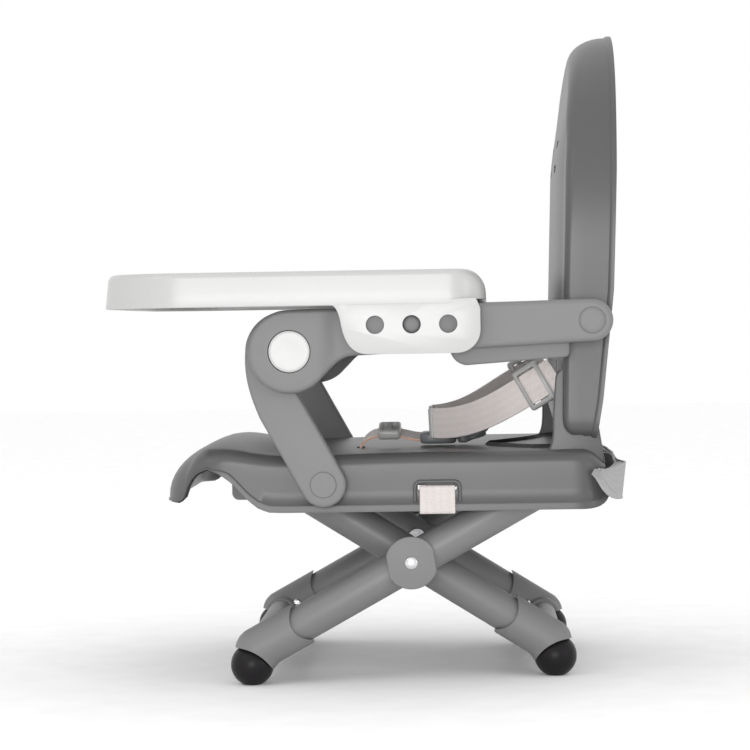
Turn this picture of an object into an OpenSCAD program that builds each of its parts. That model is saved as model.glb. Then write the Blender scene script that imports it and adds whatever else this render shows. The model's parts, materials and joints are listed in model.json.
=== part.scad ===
// Folding booster high chair: a seat on a scissor leg frame, with a folding
// backrest, linked armrests and a clip-on tray.
// The chair faces -Y, +X is the child's left and +Z is up. The origin is on
// the floor, in the middle of the whole object's length and width.

/* [Overall] */
// Length of the whole chair, from the tray's front edge to the rear strap
overall_d = 364; // [340:1:440]
// Height of the sitting surface above the floor
seat_top_z = 163; // [136:1:196]
// Width of the seat shell
seat_w = 300; // [250:1:360]
// Height of the backrest above its hinge
back_h = 278.5; // [230:0.5:340]

/* [Seat] */
// Height of the seat shell's side walls
seat_h = 41; // [36:1:50]
// Depth from the front lip's tip to the rear wall
seat_d = 313; // [300:1:330]
// Wall of the moulded shells
wall = 3; // [2.4:0.1:3.6]
// Rise of the thigh hump at the front of the seat
hump_h = 11; // [6:1:14]
// Height of the hinge uprights above the sitting surface
upright_h = 58; // [50:1:64]

/* [Backrest] */
// Gap between the backrest's side and the seat's side, each side
back_inset = 10; // [9:1:14]
// Depth of the backrest's side walls
back_depth = 33; // [28:1:38]
// Lean of the rear rim, from its foot to its top
back_lean = 17; // [10:1:20]

/* [Armrests] */
// Height of the armrest's rear pivot above the sitting surface
arm_h = 90; // [84:1:100]
// Distance between the armrest's hub and its rear pivot, along Y
arm_run = 208; // [196:1:216]
// How far the hub sits below the rear pivot
arm_drop = 18.5; // [14:0.5:22]
// Radius of the armrest's round hub
hub_r = 28.7; // [26:0.1:32]
// Depth of the armrest bar at its rear end
arm_bar_h = 29; // [26:1:32]
// Width of a strut
strut_w = 31.5; // [28:0.5:34]
// Thickness of a strut
strut_t = 12; // [10:1:13]
// Width of the armrest's top
arm_w = 23; // [20:1:26]
// Radius of the fold button
button_r = 14.5; // [12:0.5:16]
// Travel of the fold button
button_travel = 3.5; // [2:0.5:4]

/* [Tray] */
// Depth of the tray, front to rear
tray_d = 268; // [250:1:280]
// Height of the tray's rim
tray_h = 24; // [20:1:30]
// Thickness of the tray's walls
tray_t = 3; // [2.4:0.1:3.5]
// Pitch of the tray's three setting holes
hole_pitch = 25; // [22:1:27]
// Radius of a setting hole
hole_r = 6.3; // [5.5:0.1:6.8]

/* [Legs] */
// Outer radius of a leg tube
tube_r = 13.2; // [11:0.1:14]
// Wall of a leg tube
tube_wall = 1.8; // [1.2:0.1:2.5]
// Slope of the legs that end at the front feet
front_slope = 29; // [27:0.5:31]
// Slope of the legs that end at the rear feet
rear_slope = 32; // [30:0.5:36]
// How far a rubber foot sits outside its tube's end
foot_out = 3.5; // [2:0.5:6]
// Height of the crossing, as a share of the legs' height
cross_share = 0.537; // [0.5:0.001:0.56]
// Radius of a rubber foot
foot_r = 15; // [13:0.5:16]

/* [Webbing] */
// Width of the webbing
web_w = 25; // [20:1:27]
// Thickness of the webbing
web_t = 1.6; // [1.2:0.1:2]

/* [Fits] */
// Radial clearance of a pin that turns in its bore
run_fit = 0.05; // [0.02:0.01:0.1]
// Gap between faces that slide or turn past each other
gap = 0.4; // [0.3:0.1:0.6]
// Room round the open pivot's pin, which the linkage needs half-way
open_room = 5.4; // [5:0.1:6]

/* [Hidden] */
$fn = 48;

shell_grey = [0.44, 0.44, 0.44];
frame_grey = [0.58, 0.58, 0.58];
off_white = [0.90, 0.90, 0.90];
web_pink = [0.88, 0.85, 0.83];
web_grey = [0.72, 0.72, 0.72];
buckle_grey = [0.38, 0.39, 0.40];
rubber_black = [0.10, 0.09, 0.10];
steel = [0.80, 0.80, 0.82];

// Heights
rim_z = seat_top_z - seat_h;
leg_top_z = rim_z + 16;
foot_axis_z = foot_r + 9.5;
cross_z = foot_axis_z + (leg_top_z - foot_axis_z) * cross_share;
hinge_z = seat_top_z + 22;
arm_rear_z = seat_top_z + arm_h;
hub_z = arm_rear_z - arm_drop;
strut_z = seat_top_z - 21;
back_top_z = hinge_z + back_h;
back_foot_z = hinge_z - 16;

// Places along Y
strap_slack = 11;
rear_y = overall_d / 2 - strap_slack;
lip_y = rear_y - seat_d;
hinge_y = rear_y - 22.5;
arm_rear_y = rear_y - 13;
hub_y = arm_rear_y - arm_run;
strut_y = hub_y + 21.5;
tray_front_y = -overall_d / 2;
tray_rear_y = tray_front_y + tray_d;
cross_y = rear_y - 140;
slot_y = rear_y - 121;
crotch_y = rear_y - 180;

// Planes across X
seat_x = seat_w / 2;
back_x = seat_x - back_inset;
upright_x0 = back_x - wall - 3 - 6;
upright_x1 = upright_x0 + 6;
strut_x0 = seat_x + 1.5;
strut_x1 = strut_x0 + strut_t;
arm_x0 = strut_x1 + 1;
arm_x1 = strut_x0 + 0.5 + arm_w;
plate_x0 = arm_x1 + gap;
plate_x1 = plate_x0 + 2.7;
flange_x0 = plate_x1 + gap;
tray_x = flange_x0 + tray_t + 0.5;
front_leg_x = seat_x - 22;
rear_leg_x = front_leg_x - 2 * tube_r - 6.6;

// The legs' pivots
front_top_y = cross_y + (leg_top_z - cross_z) / tan(front_slope);
rear_top_y = cross_y - (leg_top_z - cross_z) / tan(rear_slope);
front_foot_y = cross_y - (cross_z - foot_axis_z) / tan(front_slope);
rear_foot_y = cross_y + (cross_z - foot_axis_z) / tan(rear_slope);
pivot_r = 4;
top_pin_r = 5;
track_pin_r = 4;
track_room = 1;

// The armrest's parts
pin_r = 5;
cap_r = 8.7;
boss_r = 9;
button_t = 4.2;
stem_r = 3.9;
pocket_x = arm_x1 - button_t - button_travel - 0.8;
peg_r = hole_r - 0.5;
peg_y = tray_rear_y - 51.5;
peg_z = hub_z + 17.5;
slot_w = web_w + 2;

// ---------------------------------------------------------------- helpers

// Turns a drawing in X and Y into the side view: its x runs along Y and its
// y along Z, and it is extruded from x0 to x1.
module side_plate(x0, x1) {
    translate([x0, 0, 0]) rotate([90, 0, 90]) linear_extrude(x1 - x0) children();
}

// A rod along X
module rod_x(y, z, r, x0, x1) {
    translate([x0, y, z]) rotate([0, 90, 0]) cylinder(r = r, h = x1 - x0);
}

// The child on both sides of the chair
module both_sides() {
    children();
    mirror([1, 0, 0]) children();
}

// The child on one side: 1 is the left, -1 the right
module on_side(side) {
    if (side > 0) children();
    else mirror([1, 0, 0]) children();
}

// Points of an arc about (cy, cz), from angle a0 to a1
function arc(cy, cz, r, a0, a1, n = 8) =
    [for (i = [0:n]) let (a = a0 + (a1 - a0) * i / n) [cy + r * cos(a), cz + r * sin(a)]];

// Points of a cubic curve
function curve(p0, p1, p2, p3, n = 8) =
    [for (i = [0:n]) let (t = i / n, u = 1 - t)
        u * u * u * p0 + 3 * u * u * t * p1 + 3 * u * t * t * p2 + t * t * t * p3];

// A rectangle with its own radius at each end
module round_rect(x0, x1, y0, y1, r_low, r_high) {
    polygon(concat(
        arc(x0 + r_low, y0 + r_low, r_low, 180, 270),
        arc(x1 - r_low, y0 + r_low, r_low, 270, 360),
        arc(x1 - r_high, y1 - r_high, r_high, 0, 90),
        arc(x0 + r_high, y1 - r_high, r_high, 90, 180)
    ));
}

// A band of webbing that follows points, with a width vector at each of them
// and its thickness across both
module band(points, widths, thick) {
    n = len(points);
    along = [for (i = [0:n - 1]) points[min(i + 1, n - 1)] - points[max(i - 1, 0)]];
    across = [for (i = [0:n - 1]) let (c = cross(along[i], widths[i])) c / norm(c) * thick / 2];
    rings = [for (i = [0:n - 1]) let (w = widths[i] / 2, t = across[i])
        each [points[i] - w - t, points[i] + w - t, points[i] + w + t, points[i] - w + t]];
    last = 4 * (n - 1);
    polyhedron(rings, concat(
        [[0, 1, 2], [0, 2, 3]],
        [[last, last + 2, last + 1], [last, last + 3, last + 2]],
        [for (i = [0:n - 2], k = [0:3]) let (a = 4 * i + k, b = 4 * i + (k + 1) % 4)
            each [[a, a + 4, b], [b, a + 4, b + 4]]]
    ));
}

// A coil spring along X
module coil(y, z, r, x0, x1, turns, wire) {
    per_turn = 12;
    sides = 6;
    n = turns * per_turn;
    points = [for (i = [0:n], k = [0:sides - 1])
        let (a = 360 * i / per_turn, b = 360 * k / sides, q = r + wire * cos(b))
        [x0 + wire + (x1 - x0 - 2 * wire) * i / n + wire * sin(b), y + q * cos(a), z + q * sin(a)]];
    last = n * sides;
    polyhedron(points, concat(
        [[for (k = [0:sides - 1]) k]],
        [[for (k = [sides - 1:-1:0]) last + k]],
        [for (i = [0:n - 1], k = [0:sides - 1])
            let (a = i * sides + k, b = i * sides + (k + 1) % sides)
            each [[a, a + sides, b], [b, a + sides, b + sides]]]
    ));
}

// ------------------------------------------------------------------- seat

lip_tip_z = rim_z + 6;
hump_z = seat_top_z + hump_h;

// The seat's side outline above its rim, closed a distance below it
function seat_top_line() = concat(
    [[rear_y, rim_z + 6]],
    arc(rear_y - 24, seat_top_z - 24, 24, 0, 90),
    curve([lip_y + 88, seat_top_z], [lip_y + 66, seat_top_z], [lip_y + 58, hump_z],
          [lip_y + 38, hump_z]),
    curve([lip_y + 38, hump_z], [lip_y + 14, hump_z], [lip_y + 8, seat_top_z - 14],
          [lip_y, lip_tip_z + 3])
);

module seat_block(drop) {
    polygon(concat([[rear_y - 2, drop]], seat_top_line(), [[lip_y + 2, min(drop, lip_tip_z - 2)]]));
}

// The seat seen from above, set in from its edge
module seat_plan(inset) {
    round_rect(-seat_x + inset, seat_x - inset, lip_y + inset, rear_y - inset,
               44 - inset, 24 - inset);
}

module arch_cut() {
    side_plate(-seat_x - 1, seat_x + 1) polygon(concat(
        [[lip_y - 5, 0], [lip_y - 5, lip_tip_z - 3], [lip_y + 6, lip_tip_z - 3]],
        curve([lip_y + 6, lip_tip_z - 3], [lip_y + 16, rim_z + 26], [lip_y + 24, rim_z + 34],
              [lip_y + 34, rim_z + 30]),
        curve([lip_y + 34, rim_z + 30], [lip_y + 52, rim_z + 22], [lip_y + 52, rim_z + 4],
              [lip_y + 70, rim_z]),
        [[rear_y + 5, rim_z], [rear_y + 5, 0]]
    ));
}

module uprights() {
    both_sides() side_plate(upright_x0, upright_x1) polygon(concat(
        [[hinge_y - 19, seat_top_z - wall - 1]],
        arc(hinge_y - 9, seat_top_z + upright_h - 8, 8, 180, 90, 5),
        arc(hinge_y + 3, seat_top_z + upright_h - 14, 14, 90, 30, 5),
        [[hinge_y + 17, seat_top_z - wall - 14]]
    ));
}

module seat_shell() {
    color(shell_grey) difference() {
        union() {
            intersection() {
                union() {
                    difference() {
                        side_plate(-seat_x, seat_x) seat_block(rim_z);
                        side_plate(-seat_x + wall, seat_x - wall) offset(delta = -wall) seat_block(rim_z - 40);
                    }
                    // The rounded corners keep their wall behind the hollow
                    difference() {
                        side_plate(-seat_x, seat_x) seat_block(rim_z);
                        translate([0, 0, rim_z - 1]) linear_extrude(hump_z) seat_plan(wall);
                    }
                }
                translate([0, 0, rim_z - 10]) linear_extrude(seat_h + hump_h + 20) seat_plan(0);
            }
            uprights();
            // Bosses inside the side walls carry the strut pins
            both_sides() rod_x(strut_y, strut_z, 11, seat_x - wall - 3, seat_x - wall + 0.5);
            // Raised frames round the side strap slots
            both_sides() side_plate(seat_x - 0.5, seat_x + 1)
                translate([slot_y, 0]) round_rect(-18, 18, rim_z, rim_z + 25, 1, 7);
        }
        arch_cut();
        both_sides() {
            rod_x(hinge_y, hinge_z, pin_r, upright_x0 - 1, upright_x1 + 1);
            rod_x(strut_y, strut_z, pin_r, seat_x - 10, seat_x + 1);
            // Strap slot, and the recess below it
            translate([seat_x - 10, slot_y - slot_w / 2, rim_z + 16]) cube([20, slot_w, 5.5]);
            translate([seat_x, slot_y - slot_w / 2, rim_z - 1]) cube([5, slot_w, 20]);
        }
        translate([-slot_w / 2, crotch_y - 3, seat_top_z - 10]) cube([slot_w, 6, 20]);
    }
}

// A rail with a straight slot, which a pin of the rear legs slides along
track_len_front = 46;
track_len_rear = 34;

module leg_track(side) {
    x1 = rear_leg_x - tube_r - 2;
    color(frame_grey) on_side(side) difference() {
        union() {
            side_plate(x1 - 8, x1)
                round_rect(rear_top_y - track_len_front, rear_top_y + track_len_rear,
                           leg_top_z - 11, seat_top_z - wall - gap / 4, 5, 0.5);
        }
        side_plate(x1 - 20, x1 + 1) round_rect(
            rear_top_y - track_len_front + 6, rear_top_y + track_len_rear - 6,
            leg_top_z - track_pin_r - track_room, leg_top_z + track_pin_r + track_room, 4.9, 4.9);
    }
}

// A plate on the side wall with the pin that the front legs turn on
module leg_bracket(side) {
    color(frame_grey) on_side(side) {
        side_plate(front_leg_x + tube_r + 0.6, seat_x - wall - gap / 4)
            round_rect(front_top_y - 13, front_top_y + 13, leg_top_z - 12, seat_top_z - wall - gap, 8, 2);
        rod_x(front_top_y, leg_top_z, top_pin_r, front_leg_x - tube_r - 1.5, front_leg_x + tube_r + 1);
    }
}

module front_catch() {
    color(shell_grey) difference() {
        translate([-34, lip_y + 45, rim_z + 4]) cube([68, 15, seat_h + 2]);
        translate([-40, lip_y + 40, seat_top_z - 1]) cube([80, 30, 30]);
        // Hollow for a finger, open to the front
        translate([-26, lip_y + 40, rim_z + 9]) cube([52, 15, 14]);
        // The rising thigh hump
        side_plate(-50, 50) difference() {
            translate([lip_y + 30, rim_z]) square([50, 80]);
            offset(delta = -wall - gap / 4) seat_block(rim_z - 40);
        }
    }
}

module back_hinge_pins() {
    color(steel) both_sides() {
        rod_x(hinge_y, hinge_z, pin_r - run_fit, upright_x0 - 1, back_x - 0.3);
        rod_x(hinge_y, hinge_z, pin_r + 3, upright_x0 - 2.5, upright_x0 - 0.1);
    }
}

module strut_pins() {
    color(frame_grey) both_sides() {
        rod_x(strut_y, strut_z, pin_r - run_fit, seat_x - 7, strut_x1 + 0.4);
        rod_x(strut_y, strut_z, cap_r, strut_x1 + 0.3, strut_x1 + 0.9);
    }
}

// --------------------------------------------------------------- webbing

// A loop of webbing through the slot and round the lower rim of the side wall
module side_strap(side) {
    low = rim_z - 0.4;
    high = rim_z + 16.3;
    x_in = seat_x - wall - 0.3;
    x_out = seat_x + 0.3;
    color(web_pink) on_side(side)
        translate([0, slot_y + web_w / 2, 0]) rotate([90, 0, 0]) linear_extrude(web_w) difference() {
            round_rect(x_in - web_t, x_out + web_t, low - web_t, high + web_t, 1.2, 1.2);
            round_rect(x_in, x_out, low, high, 0.3, 0.3);
        }
}

// Two layers of webbing, slack behind the seat and drawn round its corners
module rear_strap() {
    z = rim_z + 19;
    thick = 3.4;
    y = rear_y + strap_slack - thick / 2;
    half = [[seat_x + 3, rear_y - 16], [seat_x + 2.5, rear_y - 7], [seat_x - 4, rear_y + 3],
            [seat_x - 22, y - 1.5], [seat_x - 48, y], [seat_x - 90, y], [30, y]];
    path = concat([for (p = half) [p[0], p[1], z]],
                  [for (i = [len(half) - 1:-1:0]) [-half[i][0], half[i][1], z]]);
    color(web_grey) band(path, [for (p = path) [0, 0, web_w + 2]], thick);
}

// A waist strap stands on its edge, from the buckle out and back to its slot
function waist_point(t) =
    [22 + 70 * sin(90 * t), crotch_y + 54 + 98 * t, seat_top_z + 15.5 + 33 * pow(t, 1.3)];
waist_lean = [0, -7, web_w - 4];

module waist_strap(side) {
    color(web_pink) on_side(side)
        band([for (t = [0:0.05:1]) waist_point(t)], [for (t = [0:0.05:1]) waist_lean], web_t);
}

// A slide buckle round the strap
module waist_adjuster(side) {
    place = 0.78;
    way = waist_point(place + 0.01) - waist_point(place - 0.01);
    u = way / norm(way);
    // The strap's width across its own direction, and the way it faces
    v = waist_lean - u * (waist_lean * u);
    w = v / norm(v);
    face = cross(w, u);
    high = web_w / 2;
    color(off_white) on_side(side) translate(waist_point(place))
        multmatrix([[u[0], face[0], w[0], 0], [u[1], face[1], w[1], 0], [u[2], face[2], w[2], 0]]) difference() {
            translate([-13, -3.4, -high - 2.5]) cube([26, 6.8, 2 * high + 5]);
            translate([-20, -2.2, -high]) cube([40, 4.4, 2 * high]);
            for (x = [-10.5, 1.5]) translate([x, -10, -high]) cube([9, 20, 2 * high]);
        }
}

module crotch_strap() {
    path = [[0, crotch_y, seat_top_z - 8], [0, crotch_y, seat_top_z - 2], [0, crotch_y, seat_top_z + 2],
            [0, crotch_y + 3, seat_top_z + 6], [0, crotch_y + 10, seat_top_z + 8.5],
            [0, crotch_y + 22, seat_top_z + 8], [0, crotch_y + 34, seat_top_z + 6.5]];
    color(web_pink) band(path, [for (p = path) [web_w, 0, 0]], web_t);
}

module crotch_adjuster() {
    color(off_white) translate([0, crotch_y + 17, seat_top_z + 8.4]) difference() {
        translate([-16, -8, -4]) cube([32, 16, 8]);
        translate([-web_w / 2 - 0.5, -10, -1.6]) cube([web_w + 1, 20, 3.2]);
    }
}

module buckle_socket() {
    color(buckle_grey) translate([0, crotch_y + 36, seat_top_z + 1]) {
        difference() {
            linear_extrude(11) round_rect(-19, 19, 0, 30, 5, 7);
            translate([-14, 6, 3]) cube([28, 26, 5]);
        }
    }
}

module buckle_clip() {
    color(buckle_grey) translate([0, crotch_y + 67, seat_top_z + 1.5]) {
        linear_extrude(9) difference() {
            round_rect(-17, 17, 0, 22, 4, 8);
            round_rect(-12, 12, 8, 18, 4, 4);
        }
        translate([-10, -20, 3.5]) cube([20, 21, 2]);
    }
}

// --------------------------------------------------------------- backrest

back_front_y = hinge_y - 6.5;
back_rear_y = back_front_y + back_depth;

// The backrest's side outline
function back_outline() = concat(
    [[hinge_y + 13, back_foot_z]],
    [[back_rear_y - 8, hinge_z + 12], [back_rear_y, hinge_z + 88],
     [back_rear_y + back_lean * 0.35, back_top_z - 20]],
    arc(back_rear_y + back_lean * 0.35 - 2, back_top_z - 2, 2, 0, 90, 3),
    curve([back_rear_y + back_lean * 0.35 - 4, back_top_z - 1], [back_front_y + 20, back_top_z - 4],
          [back_front_y + 8, back_top_z - 22], [back_front_y + 5, back_top_z - 44], 8),
    [[back_front_y, hinge_z + 88], [back_front_y + 1, hinge_z],
     [back_front_y + 5, back_foot_z + 4], [back_front_y + 9, back_foot_z]]
);

// The backrest seen from the front, set in from its edge
module back_face(inset) {
    x = back_x - inset;
    top = back_top_z - inset;
    polygon(concat(
        [[x, back_foot_z - 1], [x, hinge_z + 120]],
        curve([x, hinge_z + 120], [x, top - 60], [x - 20, top], [x - 80, top], 12),
        curve([-x + 80, top], [-x + 20, top], [-x, top - 60], [-x, hinge_z + 120], 12),
        [[-x, back_foot_z - 1]]
    ));
}

// Slots through the back panel that take the shoulder and waist straps
module panel_slots() {
    both_sides() translate([89, back_front_y - 10, hinge_z + 13]) cube([6, 20, slot_w]);
    both_sides() translate([30, back_front_y - 10, back_top_z - 102]) cube([slot_w, 20, 5]);
    both_sides() translate([30, back_front_y - 10, back_top_z - 84]) cube([slot_w, 20, 5]);
}

module back_shell() {
    color(shell_grey) difference() {
        intersection() {
            side_plate(-back_x, back_x) polygon(back_outline());
            translate([0, rear_y + 60, 0]) rotate([90, 0, 0]) linear_extrude(200) back_face(0);
        }
        // Hollow, open to the rear
        intersection() {
            side_plate(-back_x + wall, back_x - wall) translate([wall, 0]) polygon(concat(
                [[rear_y + 60, back_foot_z - 5], [rear_y + 60, back_top_z - wall - 1],
                 [back_rear_y + back_lean * 0.35 - 4, back_top_z - wall - 1]],
                curve([back_rear_y + back_lean * 0.35 - 4, back_top_z - wall - 1],
                      [back_front_y + 20, back_top_z - 4 - wall], [back_front_y + 8, back_top_z - 24],
                      [back_front_y + 5, back_top_z - 46], 8),
                [[back_front_y, hinge_z + 88], [back_front_y + 1, hinge_z], [back_front_y + 5, back_foot_z - 5]]
            ));
            translate([0, rear_y + 80, 0]) rotate([90, 0, 0]) linear_extrude(200) back_face(wall);
        }
        // Room for the seat's uprights beside the panel
        both_sides() translate([upright_x0 - 4, back_front_y - 20, back_foot_z - 5])
            cube([back_x - wall - upright_x0 + 4, 60, upright_h + 5]);
        both_sides() rod_x(hinge_y, hinge_z, pin_r, back_x - wall - 1, back_x + 1);
        both_sides() rod_x(arm_rear_y, arm_rear_z, pin_r, back_x - wall - 1, back_x + 1);
        panel_slots();
    }
}

// The pins that the armrests' rear ends ride on
module arm_pins() {
    color(steel) both_sides() {
        rod_x(arm_rear_y, arm_rear_z, pin_r - run_fit, back_x - wall - 0.5, arm_x1 - 4);
        rod_x(arm_rear_y, arm_rear_z, pin_r + 3, back_x - wall - 3, back_x - wall - 0.2);
        rod_x(arm_rear_y, arm_rear_z, pin_r + 3, back_x + 0.2, strut_x0 - 0.5);
    }
}

// ------------------------------------------------------------------ struts

module strut(side) {
    a = atan2(hub_z - strut_z, hub_y - strut_y);
    run = norm([hub_y - strut_y, hub_z - strut_z]);
    color(frame_grey) on_side(side) difference() {
        union() {
            rod_x(strut_y, strut_z, strut_w / 2, strut_x0, strut_x1);
            rod_x(hub_y - 2.4, hub_z, hub_r, strut_x0, strut_x1);
            side_plate(strut_x0, strut_x1) translate([strut_y, strut_z]) rotate(a)
                translate([0, -strut_w / 2]) square([run, strut_w]);
            // The boss that the armrest's hub turns on
            rod_x(hub_y, hub_z, boss_r, strut_x1 - 1, pocket_x - 0.2);
        }
        rod_x(strut_y, strut_z, pin_r, strut_x0 - 1, strut_x1 + 1);
        rod_x(hub_y, hub_z, stem_r + 0.5, strut_x0 - 1, arm_x1);
    }
}

// --------------------------------------------------------------- armrests

// The armrest's side outline: the round hub, its neck and the bar
module arm_outline() {
    low = arm_rear_z - arm_bar_h / 2;
    high = arm_rear_z + arm_bar_h / 2;
    translate([hub_y, hub_z]) circle(r = hub_r, $fn = 96);
    translate([arm_rear_y, arm_rear_z]) circle(r = arm_bar_h / 2, $fn = 64);
    polygon([[hub_y, hub_z - hub_r * 0.12], [hub_y + hub_r * 0.9, low - 4.5], [arm_rear_y, low],
             [arm_rear_y, high], [hub_y + 10, high - 4], [hub_y, hub_z + hub_r]]);
}

module armrest(side) {
    shelf_front = hub_y + 34;
    color(frame_grey) on_side(side) difference() {
        union() {
            side_plate(arm_x0, arm_x1) arm_outline();
            // The top widens inwards behind the strut's hub
            side_plate(strut_x0 + 0.5, arm_x0 + 0.5) intersection() {
                arm_outline();
                translate([shelf_front, arm_rear_z - 3.5]) square([arm_run, arm_bar_h]);
            }
            rod_x(arm_rear_y, arm_rear_z, arm_bar_h / 2, strut_x0 + 0.5, arm_x0 + 0.5);
        }
        // Hub: the strut's boss, the fold button's pocket and its stem
        rod_x(hub_y, hub_z, boss_r + run_fit, arm_x0 - 1, pocket_x + 0.5);
        rod_x(hub_y, hub_z, button_r + 0.3, pocket_x, arm_x1 + 1);
        // Open pivot: a blind pocket with room round the backrest's pin
        rod_x(arm_rear_y, arm_rear_z, pin_r + open_room, strut_x0 - 1, arm_x1 - 2.6);
        // Pocket of the lock peg and its spring
        rod_x(peg_y, peg_z, peg_r + 0.4, arm_x1 - 6.5, arm_x1 + 1);
    }
}

// The lower moulding on the inside of the armrest
module arm_liner(side) {
    low = arm_rear_z - arm_bar_h / 2;
    front = hub_y + 110;
    color(shell_grey) on_side(side) side_plate(strut_x0 + 1.5, arm_x0 - gap / 2) polygon(concat(
        [[front, low + 10]],
        arc(front + 12, low - 3.5, 12, 180, 270, 5),
        [[arm_rear_y - 24, low - 11]],
        arc(arm_rear_y - 20, low - 7, 4, 270, 360, 4),
        [[arm_rear_y - 15.5, low + 10]]
    ));
}

// Round caps over the armrests' rear pivots
module arm_caps() {
    color(frame_grey) both_sides() rod_x(arm_rear_y, arm_rear_z, cap_r, arm_x1 + 0.05, arm_x1 + 0.8);
}

module fold_button(side) {
    color(off_white) on_side(side) {
        rod_x(hub_y, hub_z, button_r, arm_x1 - button_t, arm_x1);
        rod_x(hub_y, hub_z, stem_r, strut_x0 + 5, arm_x1 - button_t + 0.2);
    }
}

module fold_spring(side) {
    color(steel) on_side(side)
        coil(hub_y, hub_z, button_r - 3, pocket_x + 0.1, arm_x1 - button_t - 0.2, 2, 0.5);
}

// ---------------------------------------------------------- tray and locks

module peg_plate(side) {
    color(frame_grey) on_side(side) difference() {
        side_plate(plate_x0, plate_x1) translate([peg_y, peg_z])
            round_rect(-hole_pitch - 16, hole_pitch + 16, -10, 10, 4, 4);
        rod_x(peg_y, peg_z, peg_r + 0.3, plate_x0 - 1, plate_x1 + 1);
    }
}

module lock_peg(side) {
    color(frame_grey) on_side(side) {
        rod_x(peg_y, peg_z, peg_r - 1.2, arm_x1 + 0.1, plate_x1 - 1);
        translate([plate_x1 - 1.4, peg_y, peg_z]) rotate([0, 90, 0]) cylinder(r1 = peg_r, r2 = peg_r - 0.9, h = 1.5);
    }
}

module peg_spring(side) {
    color(steel) on_side(side) coil(peg_y, peg_z, peg_r - 1.3, arm_x1 - 6.2, arm_x1 - 1.2, 3, 0.5);
}

// The tray seen from above, set in from its edge
module tray_plan(inset) {
    round_rect(-tray_x + inset, tray_x - inset, tray_front_y + inset, tray_rear_y - inset,
               58 - inset, 26 - inset);
}

tray_low_z = arm_rear_z + 12.5;
tray_top_z = tray_low_z + tray_h;
flange_low_z = peg_z - 20;
flange_y0 = peg_y - 44;
flange_y1 = tray_rear_y - 4.5;

module tray_flange() {
    side_plate(flange_x0, tray_x - 0.5) difference() {
        polygon(concat(
            [[flange_y0 - 14, tray_low_z + 3]],
            curve([flange_y0 - 14, tray_low_z], [flange_y0 - 2, tray_low_z], [flange_y0 - 2, flange_low_z + 2],
                  [flange_y0 + 16, flange_low_z], 8),
            arc(flange_y1 - 16, flange_low_z + 16, 16, 270, 360, 6),
            [[flange_y1, tray_low_z + 3]]
        ));
    }
}

module tray() {
    color(off_white) difference() {
        union() {
            difference() {
                intersection() {
                    translate([0, 0, tray_low_z]) linear_extrude(tray_h) tray_plan(0);
                    // The front leans in towards the rim's top
                    side_plate(-tray_x, tray_x) polygon(concat(
                        [[tray_front_y, tray_low_z - 1], [tray_front_y, tray_low_z + 3],
                         [tray_front_y + 9, tray_top_z - 3], [tray_front_y + 13, tray_top_z]],
                        arc(tray_rear_y - 22, tray_top_z - 22, 22, 90, 0, 8),
                        [[tray_rear_y, tray_low_z - 1]]
                    ));
                }
                // Dish on top, hollow underneath
                translate([0, 0, tray_top_z - 10]) linear_extrude(20) tray_plan(16);
                translate([0, 0, tray_low_z - 1]) linear_extrude(tray_h - 10 - tray_t + 1) tray_plan(tray_t);
            }
            both_sides() tray_flange();
        }
        both_sides() for (i = [-1:1])
            rod_x(peg_y + i * hole_pitch, peg_z, hole_r, flange_x0 - 2, tray_x + 2);
        // The rear wall is cut away over the armrests
        both_sides() translate([strut_x0 - 2, tray_rear_y - 30, tray_low_z - 1])
            cube([flange_x0 - strut_x0 + 2, 31, arm_rear_z + arm_bar_h / 2 + 1.3 - tray_low_z + 1]);
    }
}

// -------------------------------------------------------------------- legs

// A tube from point a to point b, both [y, z], at a plane x
module leg_tube(x, a, b) {
    run = norm(b - a);
    tilt = atan2(b[1] - a[1], b[0] - a[0]);
    translate([x, a[0], a[1]]) rotate([tilt, 0, 0]) rotate([-90, 0, 0]) difference() {
        cylinder(r = tube_r, h = run);
        translate([0, 0, -1]) cylinder(r = tube_r - tube_wall, h = run + 2);
    }
}

front_top = [front_top_y, leg_top_z];
rear_top = [rear_top_y, leg_top_z];
front_foot = [front_foot_y, foot_axis_z];
rear_foot = [rear_foot_y, foot_axis_z];
cross_point = [cross_y, cross_z];

function toward(a, b, d) = a + (b - a) / norm(b - a) * d;

// A plug with the bore of a pivot, which fills the tube where a pin crosses it
module pivot_plug(x, at, slope, half_len) {
    translate([x, at[0], at[1]]) rotate([slope, 0, 0]) rotate([-90, 0, 0])
        translate([0, 0, -half_len]) cylinder(r = tube_r - 0.01, h = 2 * half_len);
}

module front_leg(side) {
    color(frame_grey) on_side(side) difference() {
        union() {
            leg_tube(front_leg_x, toward(front_foot, front_top, 3), toward(front_top, front_foot, -9));
            pivot_plug(front_leg_x, cross_point, front_slope, 9);
            pivot_plug(front_leg_x, front_top, front_slope, 9);
        }
        rod_x(cross_y, cross_z, pivot_r, front_leg_x - 30, front_leg_x + 30);
        rod_x(front_top_y, leg_top_z, top_pin_r + run_fit, front_leg_x - 30, front_leg_x + 30);
    }
}

module rear_leg(side) {
    color(frame_grey) on_side(side) difference() {
        union() {
            leg_tube(rear_leg_x, toward(rear_foot, rear_top, 3), toward(rear_top, rear_foot, -7));
            pivot_plug(rear_leg_x, cross_point, -rear_slope, 9);
            pivot_plug(rear_leg_x, rear_top, -rear_slope, 7);
        }
        rod_x(cross_y, cross_z, pivot_r + run_fit, rear_leg_x - 30, rear_leg_x + 30);
        rod_x(rear_top_y, leg_top_z, track_pin_r, rear_leg_x - 30, rear_leg_x + 30);
    }
}

// A bar across the chair that joins the left and right sleeves
bar_r = 9.5;
module foot_bar(x, foot) {
    color(frame_grey) rod_x(foot[0], foot[1], bar_r, -x + tube_r + 0.6, x - tube_r - 0.6);
}

sleeve_r = tube_r + 2.4;
sleeve_len = 34;
screw_r = 1.8;

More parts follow.
